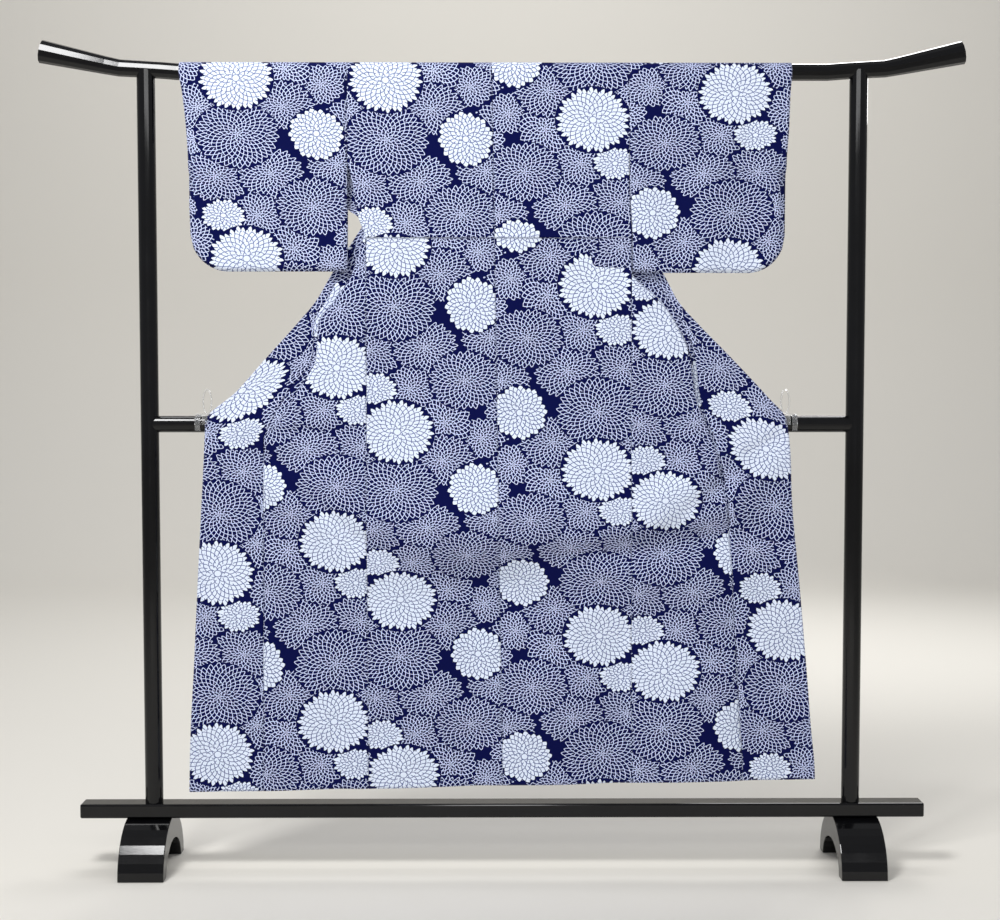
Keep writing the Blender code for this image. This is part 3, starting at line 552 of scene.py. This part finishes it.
def body_grid(side):
    """Body panel, from the back hem over the bar to the front hem.

    Points, bolt places, places by the finished edges, and the faces round the neck opening
    that stay.
    """
    neck = round(PANEL_WIDTH * NECK_SHARE / ACROSS_STEP)
    rest = round(PANEL_WIDTH * (1 - NECK_SHARE) / ACROSS_STEP)
    across = np.concatenate([
        np.linspace(0, NECK_SHARE, neck + 1)[:-1],
        np.linspace(NECK_SHARE, 1, rest + 1),
    ])
    open_edge = np.ones_like(across)
    points, used = [], []

    def back_row(z, depth, hidden):
        inner, outer = side.centre(z), float(side.read("side", z))
        out = inner + (outer - inner) * across
        to_seam = 1 - across if z < SIDE_SEAM_TOP else open_edge
        y = depth + pressed(across, to_seam, outer - inner)
        to_front = smooth_read(DEPTHS, DEPTH_COLUMNS, "side", z) - depth
        near_seam = ease(SIDE_SEAM_REACH, 0.0, (1 - across) * (outer - inner))
        y = y + to_front * near_seam * ease(SIDE_SEAM_TOP, SIDE_SEAM_TOP - SIDE_SEAM_EASES, z)
        points.append(settle(side.row(out, y, z)))
        ripple = float(smooth_read(RIPPLES, RIPPLE_COLUMNS, "back", z))
        used.append((out - inner, hidden + ripple))

    # the back, up to the bar
    base = smooth_read(DEPTHS, DEPTH_COLUMNS, "back", TUCK_LEVEL)
    low, high = TUCK_LEVEL + TUCK[-1][0], TUCK_LEVEL + TUCK[0][0]
    for z in levels_between(HEM_LEVEL, low)[:-1]:
        depth = smooth_read(DEPTHS, DEPTH_COLUMNS, "back", z) + TUCK_STEP
        back_row(z, depth, TUCK_HIDES)
    for rise, depth, hidden in reversed(TUCK):
        back_row(TUCK_LEVEL + rise, base + depth, TUCK_HIDES * hidden)
    for z in levels_between(high, BAR_HEIGHT)[1:]:
        back_row(z, smooth_read(DEPTHS, DEPTH_COLUMNS, "back", z), 0.0)

    # over the bar, and down to the end of the neck opening
    inner, outer = side.centre(CENTRE_LEVEL), float(side.read("side", CENTRE_LEVEL))
    spread = inner + (outer - inner) * across
    for a in np.radians(np.linspace(0, 90, BAR_ROWS + 1)[1:]):
        y, z = -OVER_BAR * math.cos(a), BAR_HEIGHT + OVER_BAR * math.sin(a)
        points.append(side.row(spread, y, z))
        used.append((spread - inner, 0.0))
    crest = len(points) - 1
    for step in range(1, NECK_ROWS + 1):
        drop = np.minimum(NECK_DROP * step / NECK_ROWS, neck_drop(side, spread))
        points.append(side.row(spread, *behind_bar(drop)))
        used.append((spread - inner, 0.0))
    neck_end = len(points) - 1

    # the front, down to its hem
    top = BAR_HEIGHT - (NECK_DROP - QUARTER_TURN)
    for z in levels_between(top, HEM_LEVEL)[1:]:
        u = (1 - np.maximum(across, NECK_SHARE)) / (1 - NECK_SHARE)
        out, y, reach = side.front(z, u)
        width = float(side.outer(z)) - side.centre(z)
        sewn = float(ease(*FRONT_SEAM_STARTS, z))
        y = y + pressed(u * sewn + (1 - sewn), 1 - u, FRONT_WIDTH)
        points.append(settle(side.row(out, y, z)))
        ripple = float(smooth_read(RIPPLES, RIPPLE_COLUMNS, f"front_{side.name}", z))
        used.append((width - reach, ripple + FRONT_TUCK * float(ease(*FRONT_TUCK_TAKEN, z))))

    points = np.array(points)
    steps = np.diff(hung_length(points)[:, neck:], axis=0)
    length = np.concatenate([[0.0], np.cumsum(np.median(steps, axis=1))])
    maps, edges = [], []
    for i, (out, extra) in enumerate(used):
        along = length[crest] - length[i] + (extra if i <= crest else -extra)
        maps.append(print_map(f"body_{side.name}", out, along, points[i, :, 2]))
        edges.append(side_by_side(min(length[i], length[-1] - length[i]), out))
    keep = np.ones((len(points) - 1, len(across) - 1), bool)
    keep[neck_end:, :neck] = False
    return points, maps, edges, keep


def okumi_grid(side):
    """Overlap panel: points, bolt places and places by the finished edges."""
    top = KENSAKI_LEVEL - OKUMI_BELOW_POINT
    share = np.linspace(0, 1, round(OKUMI_WIDTH / ACROSS_STEP) + 1)
    points, inward = [], []
    for z in levels_between(top, HEM_LEVEL):
        inner = float(side.read("seam", z))
        outer = max(float(side.read("edge", z)), inner + OKUMI_LEAST)
        out = inner + (outer - inner) * share
        depth = smooth_read(DEPTHS, DEPTH_COLUMNS, "okumi", z)
        y = depth + pressed(share, np.ones_like(share), outer - inner)
        points.append(settle(side.row(out, y, z)))
        inward.append(out - inner)
    points = np.array(points)
    start = BAR_HEIGHT - top + QUARTER_TURN + OKUMI_HIDES
    length = np.median(hung_length(points), axis=1) + start
    maps, edges = [], []
    for row, out, along in zip(points, inward, length):
        ripple = float(smooth_read(RIPPLES, RIPPLE_COLUMNS, "okumi", float(np.mean(row[:, 2]))))
        maps.append(print_map(f"okumi_{side.name}", out, along + ripple, row[:, 2]))
        from_hem, from_front = length[-1] - along, out[-1] - out
        run = np.where(from_front < from_hem, along, out)
        edges.append(side_by_side(np.minimum(from_hem, from_front), run))
    return points, maps, edges


def sleeve_grid(side):
    """Sleeve, in rings from the armhole to the cuff, each from bottom seam to bottom seam."""

    def read(column, z):
        return smooth_read(SLEEVE_LEVELS, SLEEVE_COLUMNS, column, z)

    bottom = SLEEVE_BOTTOM[side.name]
    widest, at_bar = float(read(side.name, bottom)), float(read(side.name, BAR_HEIGHT))
    join = float(side.read("side", CENTRE_LEVEL))
    cuff_level = BAR_HEIGHT + OVER_BAR - CUFF
    over_bar = np.radians(np.linspace(0, 180, SLEEVE_BAR_ROWS + 2)[1:-1])
    points, outs, ends = [], [], []
    for i in range(SLEEVE_COLUMN_COUNT + 1):
        share = (i / SLEEVE_COLUMN_COUNT) ** SLEEVE_CROWDING
        into_corner = max(join + (widest - join) * share - (widest - SLEEVE_CORNER), 0.0)
        low = bottom + SLEEVE_CORNER - math.sqrt(SLEEVE_CORNER ** 2 - into_corner ** 2)
        rise = np.linspace(0, 1, SLEEVE_ROWS + 1) ** SLEEVE_ROW_CROWDING
        z = low + (BAR_HEIGHT - low) * rise
        outer = read(side.name, z)
        clear = SLEEVE_CLEAR * ease(*SLEEVE_CLEAR_STARTS, z)
        inner = np.maximum(join, side.read("side", z) + clear)
        x = inner + (outer - inner) * share
        front, rear = read("front", z), read("rear", z)
        middle = (front + rear) / 2
        sewn = np.exp(-((z - low) / SLEEVE_SEWN) ** 2)
        at_cuff = i - SLEEVE_COLUMN_COUNT + len(CUFF_CLOSES) - 1
        if at_cuff >= 0:
            shut = ease(cuff_level + CUFF_ENDS[0], cuff_level + CUFF_ENDS[1], z)
            sewn = np.maximum(sewn, CUFF_CLOSES[at_cuff] * shut)
        front, rear = front + (middle - front) * sewn, rear + (middle - rear) * sewn
        loose = ridges(SLEEVE_CREASES, side.sign * x, z) * ease(0.0, SLEEVE_FREE, x - join)
        loose = loose * ease(*SLEEVE_CREASES_START, z)
        crown = join + (at_bar - join) * share
        points.append(np.concatenate([
            side.row(x, front + loose, z),
            side.row(crown, -OVER_BAR * np.cos(over_bar), BAR_HEIGHT + OVER_BAR * np.sin(over_bar)),
            side.row(x, rear + loose, z)[::-1],
        ]))
        out, end = x - join, (outer - inner) * (1 - share)
        flat = np.ones(SLEEVE_BAR_ROWS)
        outs.append(np.concatenate([out, flat * (crown - join), out[::-1]]))
        ends.append(np.concatenate([end, flat * ((at_bar - join) * (1 - share)), end[::-1]]))
    points = np.array(points).transpose(1, 0, 2)
    outs, ends = np.array(outs).T, np.array(ends).T
    length = hung_length(points)
    crest = SLEEVE_ROWS + 1 + SLEEVE_BAR_ROWS // 2
    maps, edges = [], []
    for i, (row, out) in enumerate(zip(points, outs)):
        ripple = smooth_read(RIPPLES, RIPPLE_COLUMNS, f"sleeve_{side.name}", row[:, 2])
        along = length[crest] - length[i] + (ripple if i < crest else -ripple)
        maps.append(print_map(f"sleeve_{side.name}", out, along, row[:, 2]))
        edges.append(side_by_side(ends[i], along))
    return points, maps, edges


def collar_grid():
    """Doubled collar, folded back behind the front edges."""
    line = []
    for side in (LEFT, RIGHT):
        path = []
        for out in np.linspace(side.centre(CENTRE_LEVEL), side.neck(), COLLAR_NECK_ROWS + 1)[:-1]:
            path.append((side.sign * out, float(neck_drop(side, out))))
        for z in np.linspace(*COLLAR_LEVELS, COLLAR_FRONT_ROWS):
            path.append((side.sign * float(side.read("edge", z)), QUARTER_TURN + BAR_HEIGHT - z))
        line = path[::-1] if side is LEFT else line + path[1:]
    place = np.array(line)
    smooth = place.copy()
    for _ in range(COLLAR_SMOOTHINGS):
        smooth[1:-1] = (smooth[:-2] + 2 * smooth[1:-1] + smooth[2:]) / 4
    run = np.gradient(smooth, axis=0)
    run /= np.linalg.norm(run, axis=1)[:, None]
    along = np.concatenate([[0], np.cumsum(np.linalg.norm(np.diff(place, axis=0), axis=1))])
    shares = np.linspace(0, 1, COLLAR_COLUMNS)
    clear = SOLID_WALL / 2 + COLLAR_GAP + SOLID_COLLAR_WALL / 2 + COLLAR_GAP * shares
    points, maps, edges = [], [], []
    for (x, drop), (dx, dd), reach in zip(line, run, along):
        px = x - dd * COLLAR_WIDTH * shares
        pd = drop + dx * COLLAR_WIDTH * shares
        level = BAR_HEIGHT - (pd - QUARTER_TURN)
        angle = np.radians(90 + 90 * np.clip(pd / QUARTER_TURN, -1.0, 1.0))
        hung = smooth_read(DEPTHS, DEPTH_COLUMNS, "okumi", level) + clear
        y = np.where(pd < QUARTER_TURN, -(OVER_BAR + clear) * np.cos(angle), hung)
        z = np.where(pd < QUARTER_TURN, BAR_HEIGHT + (OVER_BAR + clear) * np.sin(angle), level)
        points.append(settle(side_by_side(px, y, z)))
        maps.append(side_by_side(shares * COLLAR_WIDTH, reach))
        edges.append(side_by_side(COLLAR_FROM_FOLD + (1 - shares) * COLLAR_WIDTH, reach))
    return np.array(points), maps, edges


# Flowers of the print on one length of the bolt, in millimetres from the middle of the large
# white one: middle, half width, half height. A later row lies over the earlier ones.
FLOWER_COLUMNS = ("kind", "x", "y", "half_width", "half_height")
REPEAT = 386.0
LINE, WHITE = 0, 1
FLOWERS = (
    (LINE, -126, -109, 25, 25),
    (LINE, -118, -40, 48, 48),
    (LINE, -92, 132, 30, 30),
    (LINE, 235, 94, 52, 50),
    (LINE, 231, -46, 42, 42),
    (LINE, 222, -130, 32, 30),
    (LINE, -55, 211, 65, 50),
    (LINE, -82, 59, 54, 47),
    (LINE, 177, 10, 45, 39),
    (LINE, 200, 185, 57, 46),
    (LINE, 100, -23, 50, 52),
    (LINE, 94, 57, 62, 50),
    (LINE, 61, 206, 63, 53),
    (LINE, -3, 120, 79, 66),
    (LINE, 27, 293, 48, 42),
    (LINE, 144, 275, 69, 56),
    (WHITE, -45, -93, 48, 36),
    (WHITE, 162, 119, 60, 59),
    (WHITE, 0, -3, 80, 70),
)
# Flowers drawn in lines are this much larger than in the table
LINE_SPREAD = 1.13

# Petals grow from a flower's middle in the order of real florets, a golden turn apart. A flower
# has so many times its half width (m) to the power of PETAL_POWER. CROWDING spaces them:
# under a half the outer ones are closer together, over a half they are wider.
PETAL_POWER = 1.2
LINE_PETALS, WHITE_PETALS = 5000.0, 3900.0
LINE_CROWDING, WHITE_CROWDING = 0.61, 0.50
GOLDEN = (math.sqrt(5) - 1) / 2

# Two families of spirals bound the petals. Further out a later pair takes over: PAIR_CHANGES
# says where, and in the heart of a flower its HEART_PAIR holds.
PAIR_CHANGES = 5.25
FIRST_PAIR = 5.0
LINE_HEART_PAIR, WHITE_HEART_PAIR = 5.0, 4.0
LINE_BULGE, WHITE_BULGE = 0.08, 0.10

# Drawn lines: half of the stroke's width lies on each side, at most a share of the space between
# two lines, and its edges are soft. WHITE_HEART is the petals' room that the round blank heart
# of a white flower takes.
LINE_STROKE, WHITE_STROKE = 0.0015, 0.0015
LINE_SHARE = 0.17
LINE_SOFTNESS = 0.35
WHITE_HEART = 1.8
HEART_RING = (WHITE_STROKE * 0.3, WHITE_STROKE * 0.7)

NAVY = (0.0008, 0.0026, 0.056)
LAVENDER = (0.66, 0.73, 1.0)
PETAL_WHITE = (0.76, 0.83, 0.97)
PETAL_LINE = (0.050, 0.078, 0.25)
FADED = (0.42, 0.45, 0.66)
THREAD = (0.16, 0.21, 0.50)

# Finished edges and the weave, in metres
HEM_TURN = 0.0125
HEM_TURN_SOFT = 0.0005
STITCH_FROM_TURN = 0.0016
STITCH_PITCH = 0.0075
FADED_REACH = 0.0035
WEAVE_PITCH = 0.0009


class Graph:
    """Short ways to write a node graph."""

    def __init__(self, tree):
        self.tree = tree

    def node(self, kind, **settings):
        made = self.tree.nodes.new(kind)
        for name, value in settings.items():
            setattr(made, name, value)
        return made

    def feed(self, socket, value):
        if isinstance(value, bpy.types.NodeSocket):
            self.tree.links.new(value, socket)
        else:
            socket.default_value = value

    def math(self, operation, *values):
        made = self.node("ShaderNodeMath", operation=operation)
        for socket, value in zip(made.inputs, values):
            self.feed(socket, value)
        return made.outputs[0]

    def vector(self, operation, *values, out=0):
        made = self.node("ShaderNodeVectorMath", operation=operation)
        for socket, value in zip(made.inputs, values):
            self.feed(socket, value)
        return made.outputs[out]

    def mix(self, share, low, high):
        made = self.node("ShaderNodeMix", data_type="FLOAT")
        self.feed(made.inputs[0], share)
        self.feed(made.inputs[2], low)
        self.feed(made.inputs[3], high)
        return made.outputs[0]

    def mix_vector(self, share, low, high):
        made = self.node("ShaderNodeMix", data_type="VECTOR")
        self.feed(made.inputs[0], share)
        self.feed(made.inputs[4], low)
        self.feed(made.inputs[5], high)
        return made.outputs[1]

    def mix_colour(self, share, low, high, blend="MIX"):
        made = self.node("ShaderNodeMix", data_type="RGBA", blend_type=blend)
        self.feed(made.inputs[0], share)
        self.feed(made.inputs[6], (*low, 1.0) if isinstance(low, tuple) else low)
        self.feed(made.inputs[7], (*high, 1.0) if isinstance(high, tuple) else high)
        return made.outputs[2]

    def step(self, low, high, value):
        made = self.node("ShaderNodeMapRange", interpolation_type="SMOOTHSTEP")
        self.feed(made.inputs[0], value)
        self.feed(made.inputs[1], low)
        self.feed(made.inputs[2], high)
        return made.outputs[0]

    def parts(self, vector):
        made = self.node("ShaderNodeSeparateXYZ")
        self.feed(made.inputs[0], vector)
        return made.outputs

    def noise(self, place, scale, detail=2.0):
        made = self.node("ShaderNodeTexNoise")
        self.feed(made.inputs["Vector"], place)
        self.feed(made.inputs["Scale"], scale)
        self.feed(made.inputs["Detail"], detail)
        return made.outputs[0]

    def bump(self, height, strength, distance):
        made = self.node("ShaderNodeBump")
        self.feed(made.inputs["Strength"], strength)
        self.feed(made.inputs["Distance"], distance)
        self.feed(made.inputs["Height"], height)
        return made.outputs[0]


def choose_flower(g, place):
    """Place inside the topmost flower, with its half width in metres, plus 1 if it is white."""
    half, never = REPEAT / 2000, 10.0
    chosen = (0.0, 0.0, 0.0)
    for row in FLOWERS:
        flower = dict(zip(FLOWER_COLUMNS, row))
        x, y = flower["x"] / 1000, flower["y"] / 1000
        spread = LINE_SPREAD if flower["kind"] == LINE else 1.0
        half_width = flower["half_width"] * spread / 1000
        half_height = flower["half_height"] * spread / 1000
        code = half_width + flower["kind"]
        moved = g.vector("SUBTRACT", place, (x, y, -code))
        wrapped = g.vector("WRAP", moved, (never, half, never), (-never, -half, -never))
        scaled = g.vector("MULTIPLY", wrapped, (1 / half_width, 1 / half_height, 1.0))
        far = g.vector("LENGTH", scaled, out=1)
        inside = g.math("LESS_THAN", far, math.sqrt(1 + code * code))
        chosen = g.mix_vector(inside, chosen, scaled)
    return chosen


def print_group():
    """Node group that draws the chrysanthemum print from a place on the bolt."""
    tree = bpy.data.node_groups.new("chrysanthemum_print", "ShaderNodeTree")
    tree.interface.new_socket("Place", in_out="INPUT", socket_type="NodeSocketVector")
    tree.interface.new_socket("Color", in_out="OUTPUT", socket_type="NodeSocketColor")
    g = Graph(tree)
    entry = g.node("NodeGroupInput")
    leave = g.node("NodeGroupOutput")
    math_ = g.math

    chosen = g.parts(choose_flower(g, entry.outputs[0]))
    white = math_("GREATER_THAN", chosen[2], 0.5)
    flower = math_("GREATER_THAN", chosen[2], 0.001)
    size = math_("MAXIMUM", math_("SUBTRACT", chosen[2], white), 0.01)
    flat = g.node("ShaderNodeCombineXYZ")
    g.feed(flat.inputs[0], chosen[0])
    g.feed(flat.inputs[1], chosen[1])
    far = math_("MAXIMUM", g.vector("LENGTH", flat.outputs[0], out=1), 0.01)
    turn = math_("DIVIDE", math_("ARCTAN2", chosen[1], chosen[0]), 2 * math.pi)
    metres = math_("MULTIPLY", far, size)

    # where the point lies in the order of the petals, and the two spirals next to it
    crowding = g.mix(white, LINE_CROWDING, WHITE_CROWDING)
    petals = g.mix(white, LINE_PETALS, WHITE_PETALS)
    total = math_("MULTIPLY", math_("POWER", size, PETAL_POWER), petals)
    order = math_("MULTIPLY", total, math_("POWER", far, math_("DIVIDE", 1.0, crowding)))
    zone = math_("DIVIDE", order, math_("MULTIPLY", crowding, PAIR_CHANGES))
    zone = math_("FLOOR", math_("ADD", math_("LOGARITHM", zone, GOLDEN ** -2), FIRST_PAIR))
    zone = math_("MAXIMUM", zone, g.mix(white, LINE_HEART_PAIR, WHITE_HEART_PAIR))
    step_a = math_("ROUND", math_("DIVIDE", math_("POWER", 1 / GOLDEN, zone), math.sqrt(5)))
    step_b = math_("ROUND", math_("DIVIDE", step_a, GOLDEN))
    slip_a = math_("POWER", GOLDEN, zone)
    slip_b = math_("MULTIPLY", slip_a, GOLDEN)
    hand = math_("SUBTRACT", math_("MULTIPLY", math_("MODULO", zone, 2.0), 2.0), 1.0)
    turned = math_("MULTIPLY", turn, hand)
    a = math_("ADD", math_("MULTIPLY", turned, step_b), math_("MULTIPLY", order, slip_b))
    b = math_("SUBTRACT", math_("MULTIPLY", order, slip_a), math_("MULTIPLY", turned, step_a))
    bulge = math_("MULTIPLY", g.mix(white, LINE_BULGE, WHITE_BULGE), 4.0)

    def bent(value, other):
        part = math_("FRACT", other)
        bump = math_("MULTIPLY", part, math_("SUBTRACT", 1.0, part))
        return math_("SUBTRACT", value, math_("MULTIPLY", bulge, bump))

    a, b = bent(a, b), bent(b, a)
    stroke = math_("MULTIPLY", g.mix(white, LINE_STROKE, WHITE_STROKE), 0.5)
    ahead = math_("DIVIDE", order, crowding)
    whole_a, whole_b = math_("FLOOR", a), math_("FLOOR", b)
    tip = math_("ADD", math_("MULTIPLY", math_("ADD", whole_a, 1.0), step_a),
                math_("MULTIPLY", math_("ADD", whole_b, 1.0), step_b))

    def spiral_line(value, turns, slip, own_step, other_whole, other_step):
        """Share of a point that is on the nearest line of one family of spirals."""
        nearest = math_("ROUND", value)
        across = math_("DIVIDE", turns, 2 * math.pi)
        inward = math_("MULTIPLY", slip, ahead)
        squares = math_("MULTIPLY", across, across), math_("MULTIPLY", inward, inward)
        space = math_("DIVIDE", metres, math_("SQRT", math_("ADD", *squares)))
        away = math_("MULTIPLY", math_("ABSOLUTE", math_("SUBTRACT", value, nearest)), space)
        half = math_("MINIMUM", stroke, math_("MULTIPLY", space, LINE_SHARE))
        soft = math_("MULTIPLY", half, LINE_SOFTNESS)
        off = g.step(math_("SUBTRACT", half, soft), math_("ADD", half, soft), away)
        line = math_("SUBTRACT", 1.0, off)
        inside = math_("ADD", math_("MULTIPLY", nearest, own_step),
                       math_("MULTIPLY", math_("ADD", other_whole, 1.0), other_step))
        inside = math_("ADD", inside, math_("MULTIPLY", white, own_step))
        return math_("MULTIPLY", line, math_("LESS_THAN", inside, total))

    line = math_("MAXIMUM",
                 spiral_line(a, step_b, slip_b, step_a, whole_b, step_b),
                 spiral_line(b, step_a, slip_a, step_b, whole_a, step_a))

    # the round blank heart of a white flower
    edge = math_("POWER", math_("DIVIDE", WHITE_HEART, total), WHITE_CROWDING)
    in_heart = math_("MULTIPLY", math_("LESS_THAN", far, edge), white)
    line = math_("MULTIPLY", line, math_("SUBTRACT", 1.0, in_heart))
    away = math_("MULTIPLY", math_("ABSOLUTE", math_("SUBTRACT", far, edge)), size)
    ring = math_("SUBTRACT", 1.0, g.step(*HEART_RING, away))
    line = math_("MAXIMUM", line, math_("MULTIPLY", ring, white))

    petal = math_("LESS_THAN", tip, math_("ADD", total, 0.5))
    white_part = math_("MULTIPLY", white, petal)
    line = math_("MULTIPLY", line, flower)
    colour = g.mix_colour(line, NAVY, LAVENDER)
    colour = g.mix_colour(white_part, colour, g.mix_colour(line, PETAL_WHITE, PETAL_LINE))
    g.feed(leave.inputs[0], colour)
    return tree


def new_look(name, **values):
    """New material with the values that are the same all over it, its graph and its shader."""
    look = bpy.data.materials.new(name)
    look.use_nodes = True
    shader = look.node_tree.nodes["Principled BSDF"]
    for called, value in values.items():
        shader.inputs[called.replace("_", " ")].default_value = value
    return look, Graph(look.node_tree), shader


def cotton_material(drawing):
    """Printed plain-weave cotton, with the print's node group."""
    look, g, shader = new_look(
        "printed_cotton", Roughness=0.88, Specular_IOR_Level=0.08, Sheen_Weight=0.04,
        Sheen_Roughness=0.5)
    place = g.node("ShaderNodeUVMap", uv_map="bolt").outputs[0]
    printed = g.node("ShaderNodeGroup", node_tree=drawing)
    g.feed(printed.inputs[0], place)

    # uneven dye and slubs along the warp
    cloud = g.noise(place, 14.0, 3.0)
    slub = g.noise(g.vector("MULTIPLY", place, (900.0, 60.0, 1.0)), 1.0)
    tone = g.math("ADD", g.math("MULTIPLY", cloud, 0.16), g.math("MULTIPLY", slub, 0.16))
    tone = g.math("ADD", tone, 0.84)
    grey = g.node("ShaderNodeCombineColor")
    for socket in grey.inputs:
        g.feed(socket, tone)
    colour = g.mix_colour(1.0, printed.outputs[0], grey.outputs[0], "MULTIPLY")

    # a turned hem with its running stitch, and edges that are a little faded
    from_edge, along_edge, _ = g.parts(g.node("ShaderNodeUVMap", uv_map="edge").outputs[0])
    faded = g.math("MULTIPLY", g.step(FADED_REACH, 0.0, from_edge), g.math("MULTIPLY", cloud, 0.22))
    colour = g.mix_colour(faded, colour, FADED)
    beat = g.math("FRACT", g.math("DIVIDE", along_edge, STITCH_PITCH))
    beat = g.math("ABSOLUTE", g.math("SUBTRACT", beat, 0.5))
    off_row = g.math("ABSOLUTE", g.math("SUBTRACT", from_edge, HEM_TURN - STITCH_FROM_TURN))
    stitch = g.math("MULTIPLY", g.step(0.00055, 0.0003, off_row), g.step(0.17, 0.12, beat))
    colour = g.mix_colour(stitch, colour, THREAD)
    turned = g.step(HEM_TURN + HEM_TURN_SOFT, HEM_TURN - HEM_TURN_SOFT, from_edge)
    g.feed(shader.inputs["Base Color"], colour)

    # threads over and under each other
    threads = g.parts(g.vector("MULTIPLY", place, (2 * math.pi / WEAVE_PITCH,) * 3))
    weave = g.math("MULTIPLY", g.math("SINE", threads[0]), g.math("SINE", threads[1]))
    height = g.math("ADD", g.math("MULTIPLY", weave, 0.5), g.math("MULTIPLY", slub, 0.8))
    height = g.math("ADD", height, g.math("MULTIPLY", turned, 2.5))
    height = g.math("SUBTRACT", height, g.math("MULTIPLY", stitch, 1.5))
    g.feed(shader.inputs["Normal"], g.bump(height, 0.25, 0.0003))
    return look


def lacquer_material():
    """Black lacquer with a faint unevenness in its gloss."""
    look, g, shader = new_look("black_lacquer", Specular_IOR_Level=0.36)
    spot = g.node("ShaderNodeTexCoord").outputs["Object"]
    smear = g.noise(spot, 22.0, 5.0)
    colour = g.mix_colour(smear, (0.0012, 0.0012, 0.0016), (0.0034, 0.0034, 0.0042))
    g.feed(shader.inputs["Base Color"], colour)
    g.feed(shader.inputs["Roughness"], g.math("MULTIPLY_ADD", smear, 0.09, 0.06))
    g.feed(shader.inputs["Normal"], g.bump(g.noise(spot, 160.0), 0.06, 0.0004))
    return look


def plastic_material():
    """Clear moulded plastic."""
    look, g, shader = new_look(
        "clear_plastic", Base_Color=(0.96, 0.97, 0.98, 1.0), Transmission_Weight=0.92, IOR=1.49)
    flow = g.noise(g.node("ShaderNodeTexCoord").outputs["Object"], 90.0)
    g.feed(shader.inputs["Roughness"], g.math("MULTIPLY_ADD", flow, 0.08, 0.03))
    return look


def build_robe(look):
    """All the sheets of cloth, each riding on the root body."""
    grids = {}
    for side in (LEFT, RIGHT):
        grids[f"body_{side.name}"] = body_grid(side)
        grids[f"okumi_{side.name}"] = okumi_grid(side)
        grids[f"sleeve_{side.name}"] = sleeve_grid(side)
    grids["collar"] = collar_grid()
    for node, (points, maps, edges, *keep) in grids.items():
        wall = COLLAR_WALL if node == "collar" else WALL
        piece = sheet_object(f"cloth_{node}", flutter(points), maps, edges, look, wall, *keep)
        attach(piece, "root")
        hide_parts(node)


def cover(part, look):
    """Give a solid its material through its own slots."""
    if not part.material_slots:
        part.data.materials.append(look)
    for slot in part.material_slots:
        slot.link = "OBJECT"
        slot.material = look


def add_light(name, place, aim, size, power, height=None):
    """Soft rectangular light that looks at a point and isn't seen itself."""
    data = bpy.data.lights.new(name, "AREA")
    data.shape = "RECTANGLE"
    data.size = size
    data.size_y = height or size
    data.energy = power
    made = place_new(name, data)
    made.location = place
    made.rotation_euler = (Vector(aim) - Vector(place)).to_track_quat("-Z", "Y").to_euler()
    made.visible_camera = False


def build_stage():
    """Pale floor that rises into a pale backdrop."""
    profile = [(FLOOR_NEAR, 0.0), (FLOOR_FAR, 0.0)]
    for k in range(1, CURVE_STEPS + 1):
        a = math.radians(90 * k / CURVE_STEPS)
        profile.append(
            (FLOOR_FAR + CURVE_RADIUS * math.sin(a), CURVE_RADIUS - CURVE_RADIUS * math.cos(a)))
    profile.append((BACKDROP_DEPTH, BACKDROP_TOP))
    n = len(profile)
    verts = [
        (x, y, z - FLOOR_DROP) for x in (-STAGE_HALF_WIDTH, STAGE_HALF_WIDTH) for y, z in profile
    ]
    faces = [(i, i + 1, n + i + 1, n + i) for i in range(n - 1)]
    mesh = bpy.data.meshes.new("stage")
    mesh.from_pydata(verts, [], faces)
    mesh.shade_smooth()
    paper, _, _ = new_look("pale_paper", Base_Color=(*PAPER, 1.0), Roughness=PAPER_ROUGHNESS)
    mesh.materials.append(paper)
    place_new("stage", mesh)


def build_camera():
    """Camera of the photograph, fitted to the rack's edges."""
    data = bpy.data.cameras.new("camera")
    data.lens = LENS
    data.sensor_width = SENSOR
    data.sensor_fit = "HORIZONTAL"
    made = place_new("camera", data)
    made.location = CAMERA_PLACE
    made.rotation_euler = (math.pi / 2 - CAMERA_PITCH, 0.0, -CAMERA_YAW)
    bpy.context.scene.camera = made


def build_lights():
    """Soft studio light: places and sizes in metres, power in watts."""
    world = bpy.data.worlds.new("studio")
    bpy.context.scene.world = world
    world.use_nodes = True
    sky = world.node_tree.nodes["Background"]
    sky.inputs[0].default_value = (*SKY, 1.0)
    sky.inputs[1].default_value = SKY_STRENGTH
    add_light("key", (-1.3, -1.8, 3.5), (0, 0, 0.7), 0.9, 80.0)
    add_light("window", (0.0, -3.7, 2.3), (0, 0, 0.8), 3.6, 23.0, height=0.42)
    add_light("strip", (0.0, -3.95, 1.0), (0, 0, 0.9), 0.5, 22.0, height=1.7)
    add_light("rear", (1.8, 3.2, 2.8), (0, 0, 0.9), 1.6, 50.0)
    add_light("wall", (0.0, 2.2, 5.0), (0, 6.0, 1.6), 3.0, 105.0)


build_camera()
build_robe(cotton_material(print_group()))
for material, nodes in ((lacquer_material(), LACQUERED), (plastic_material(), CLIPS)):
    for node in nodes:
        cover(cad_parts[node], material)
build_stage()
build_lights()
bpy.context.scene.view_settings.view_transform = "Standard"
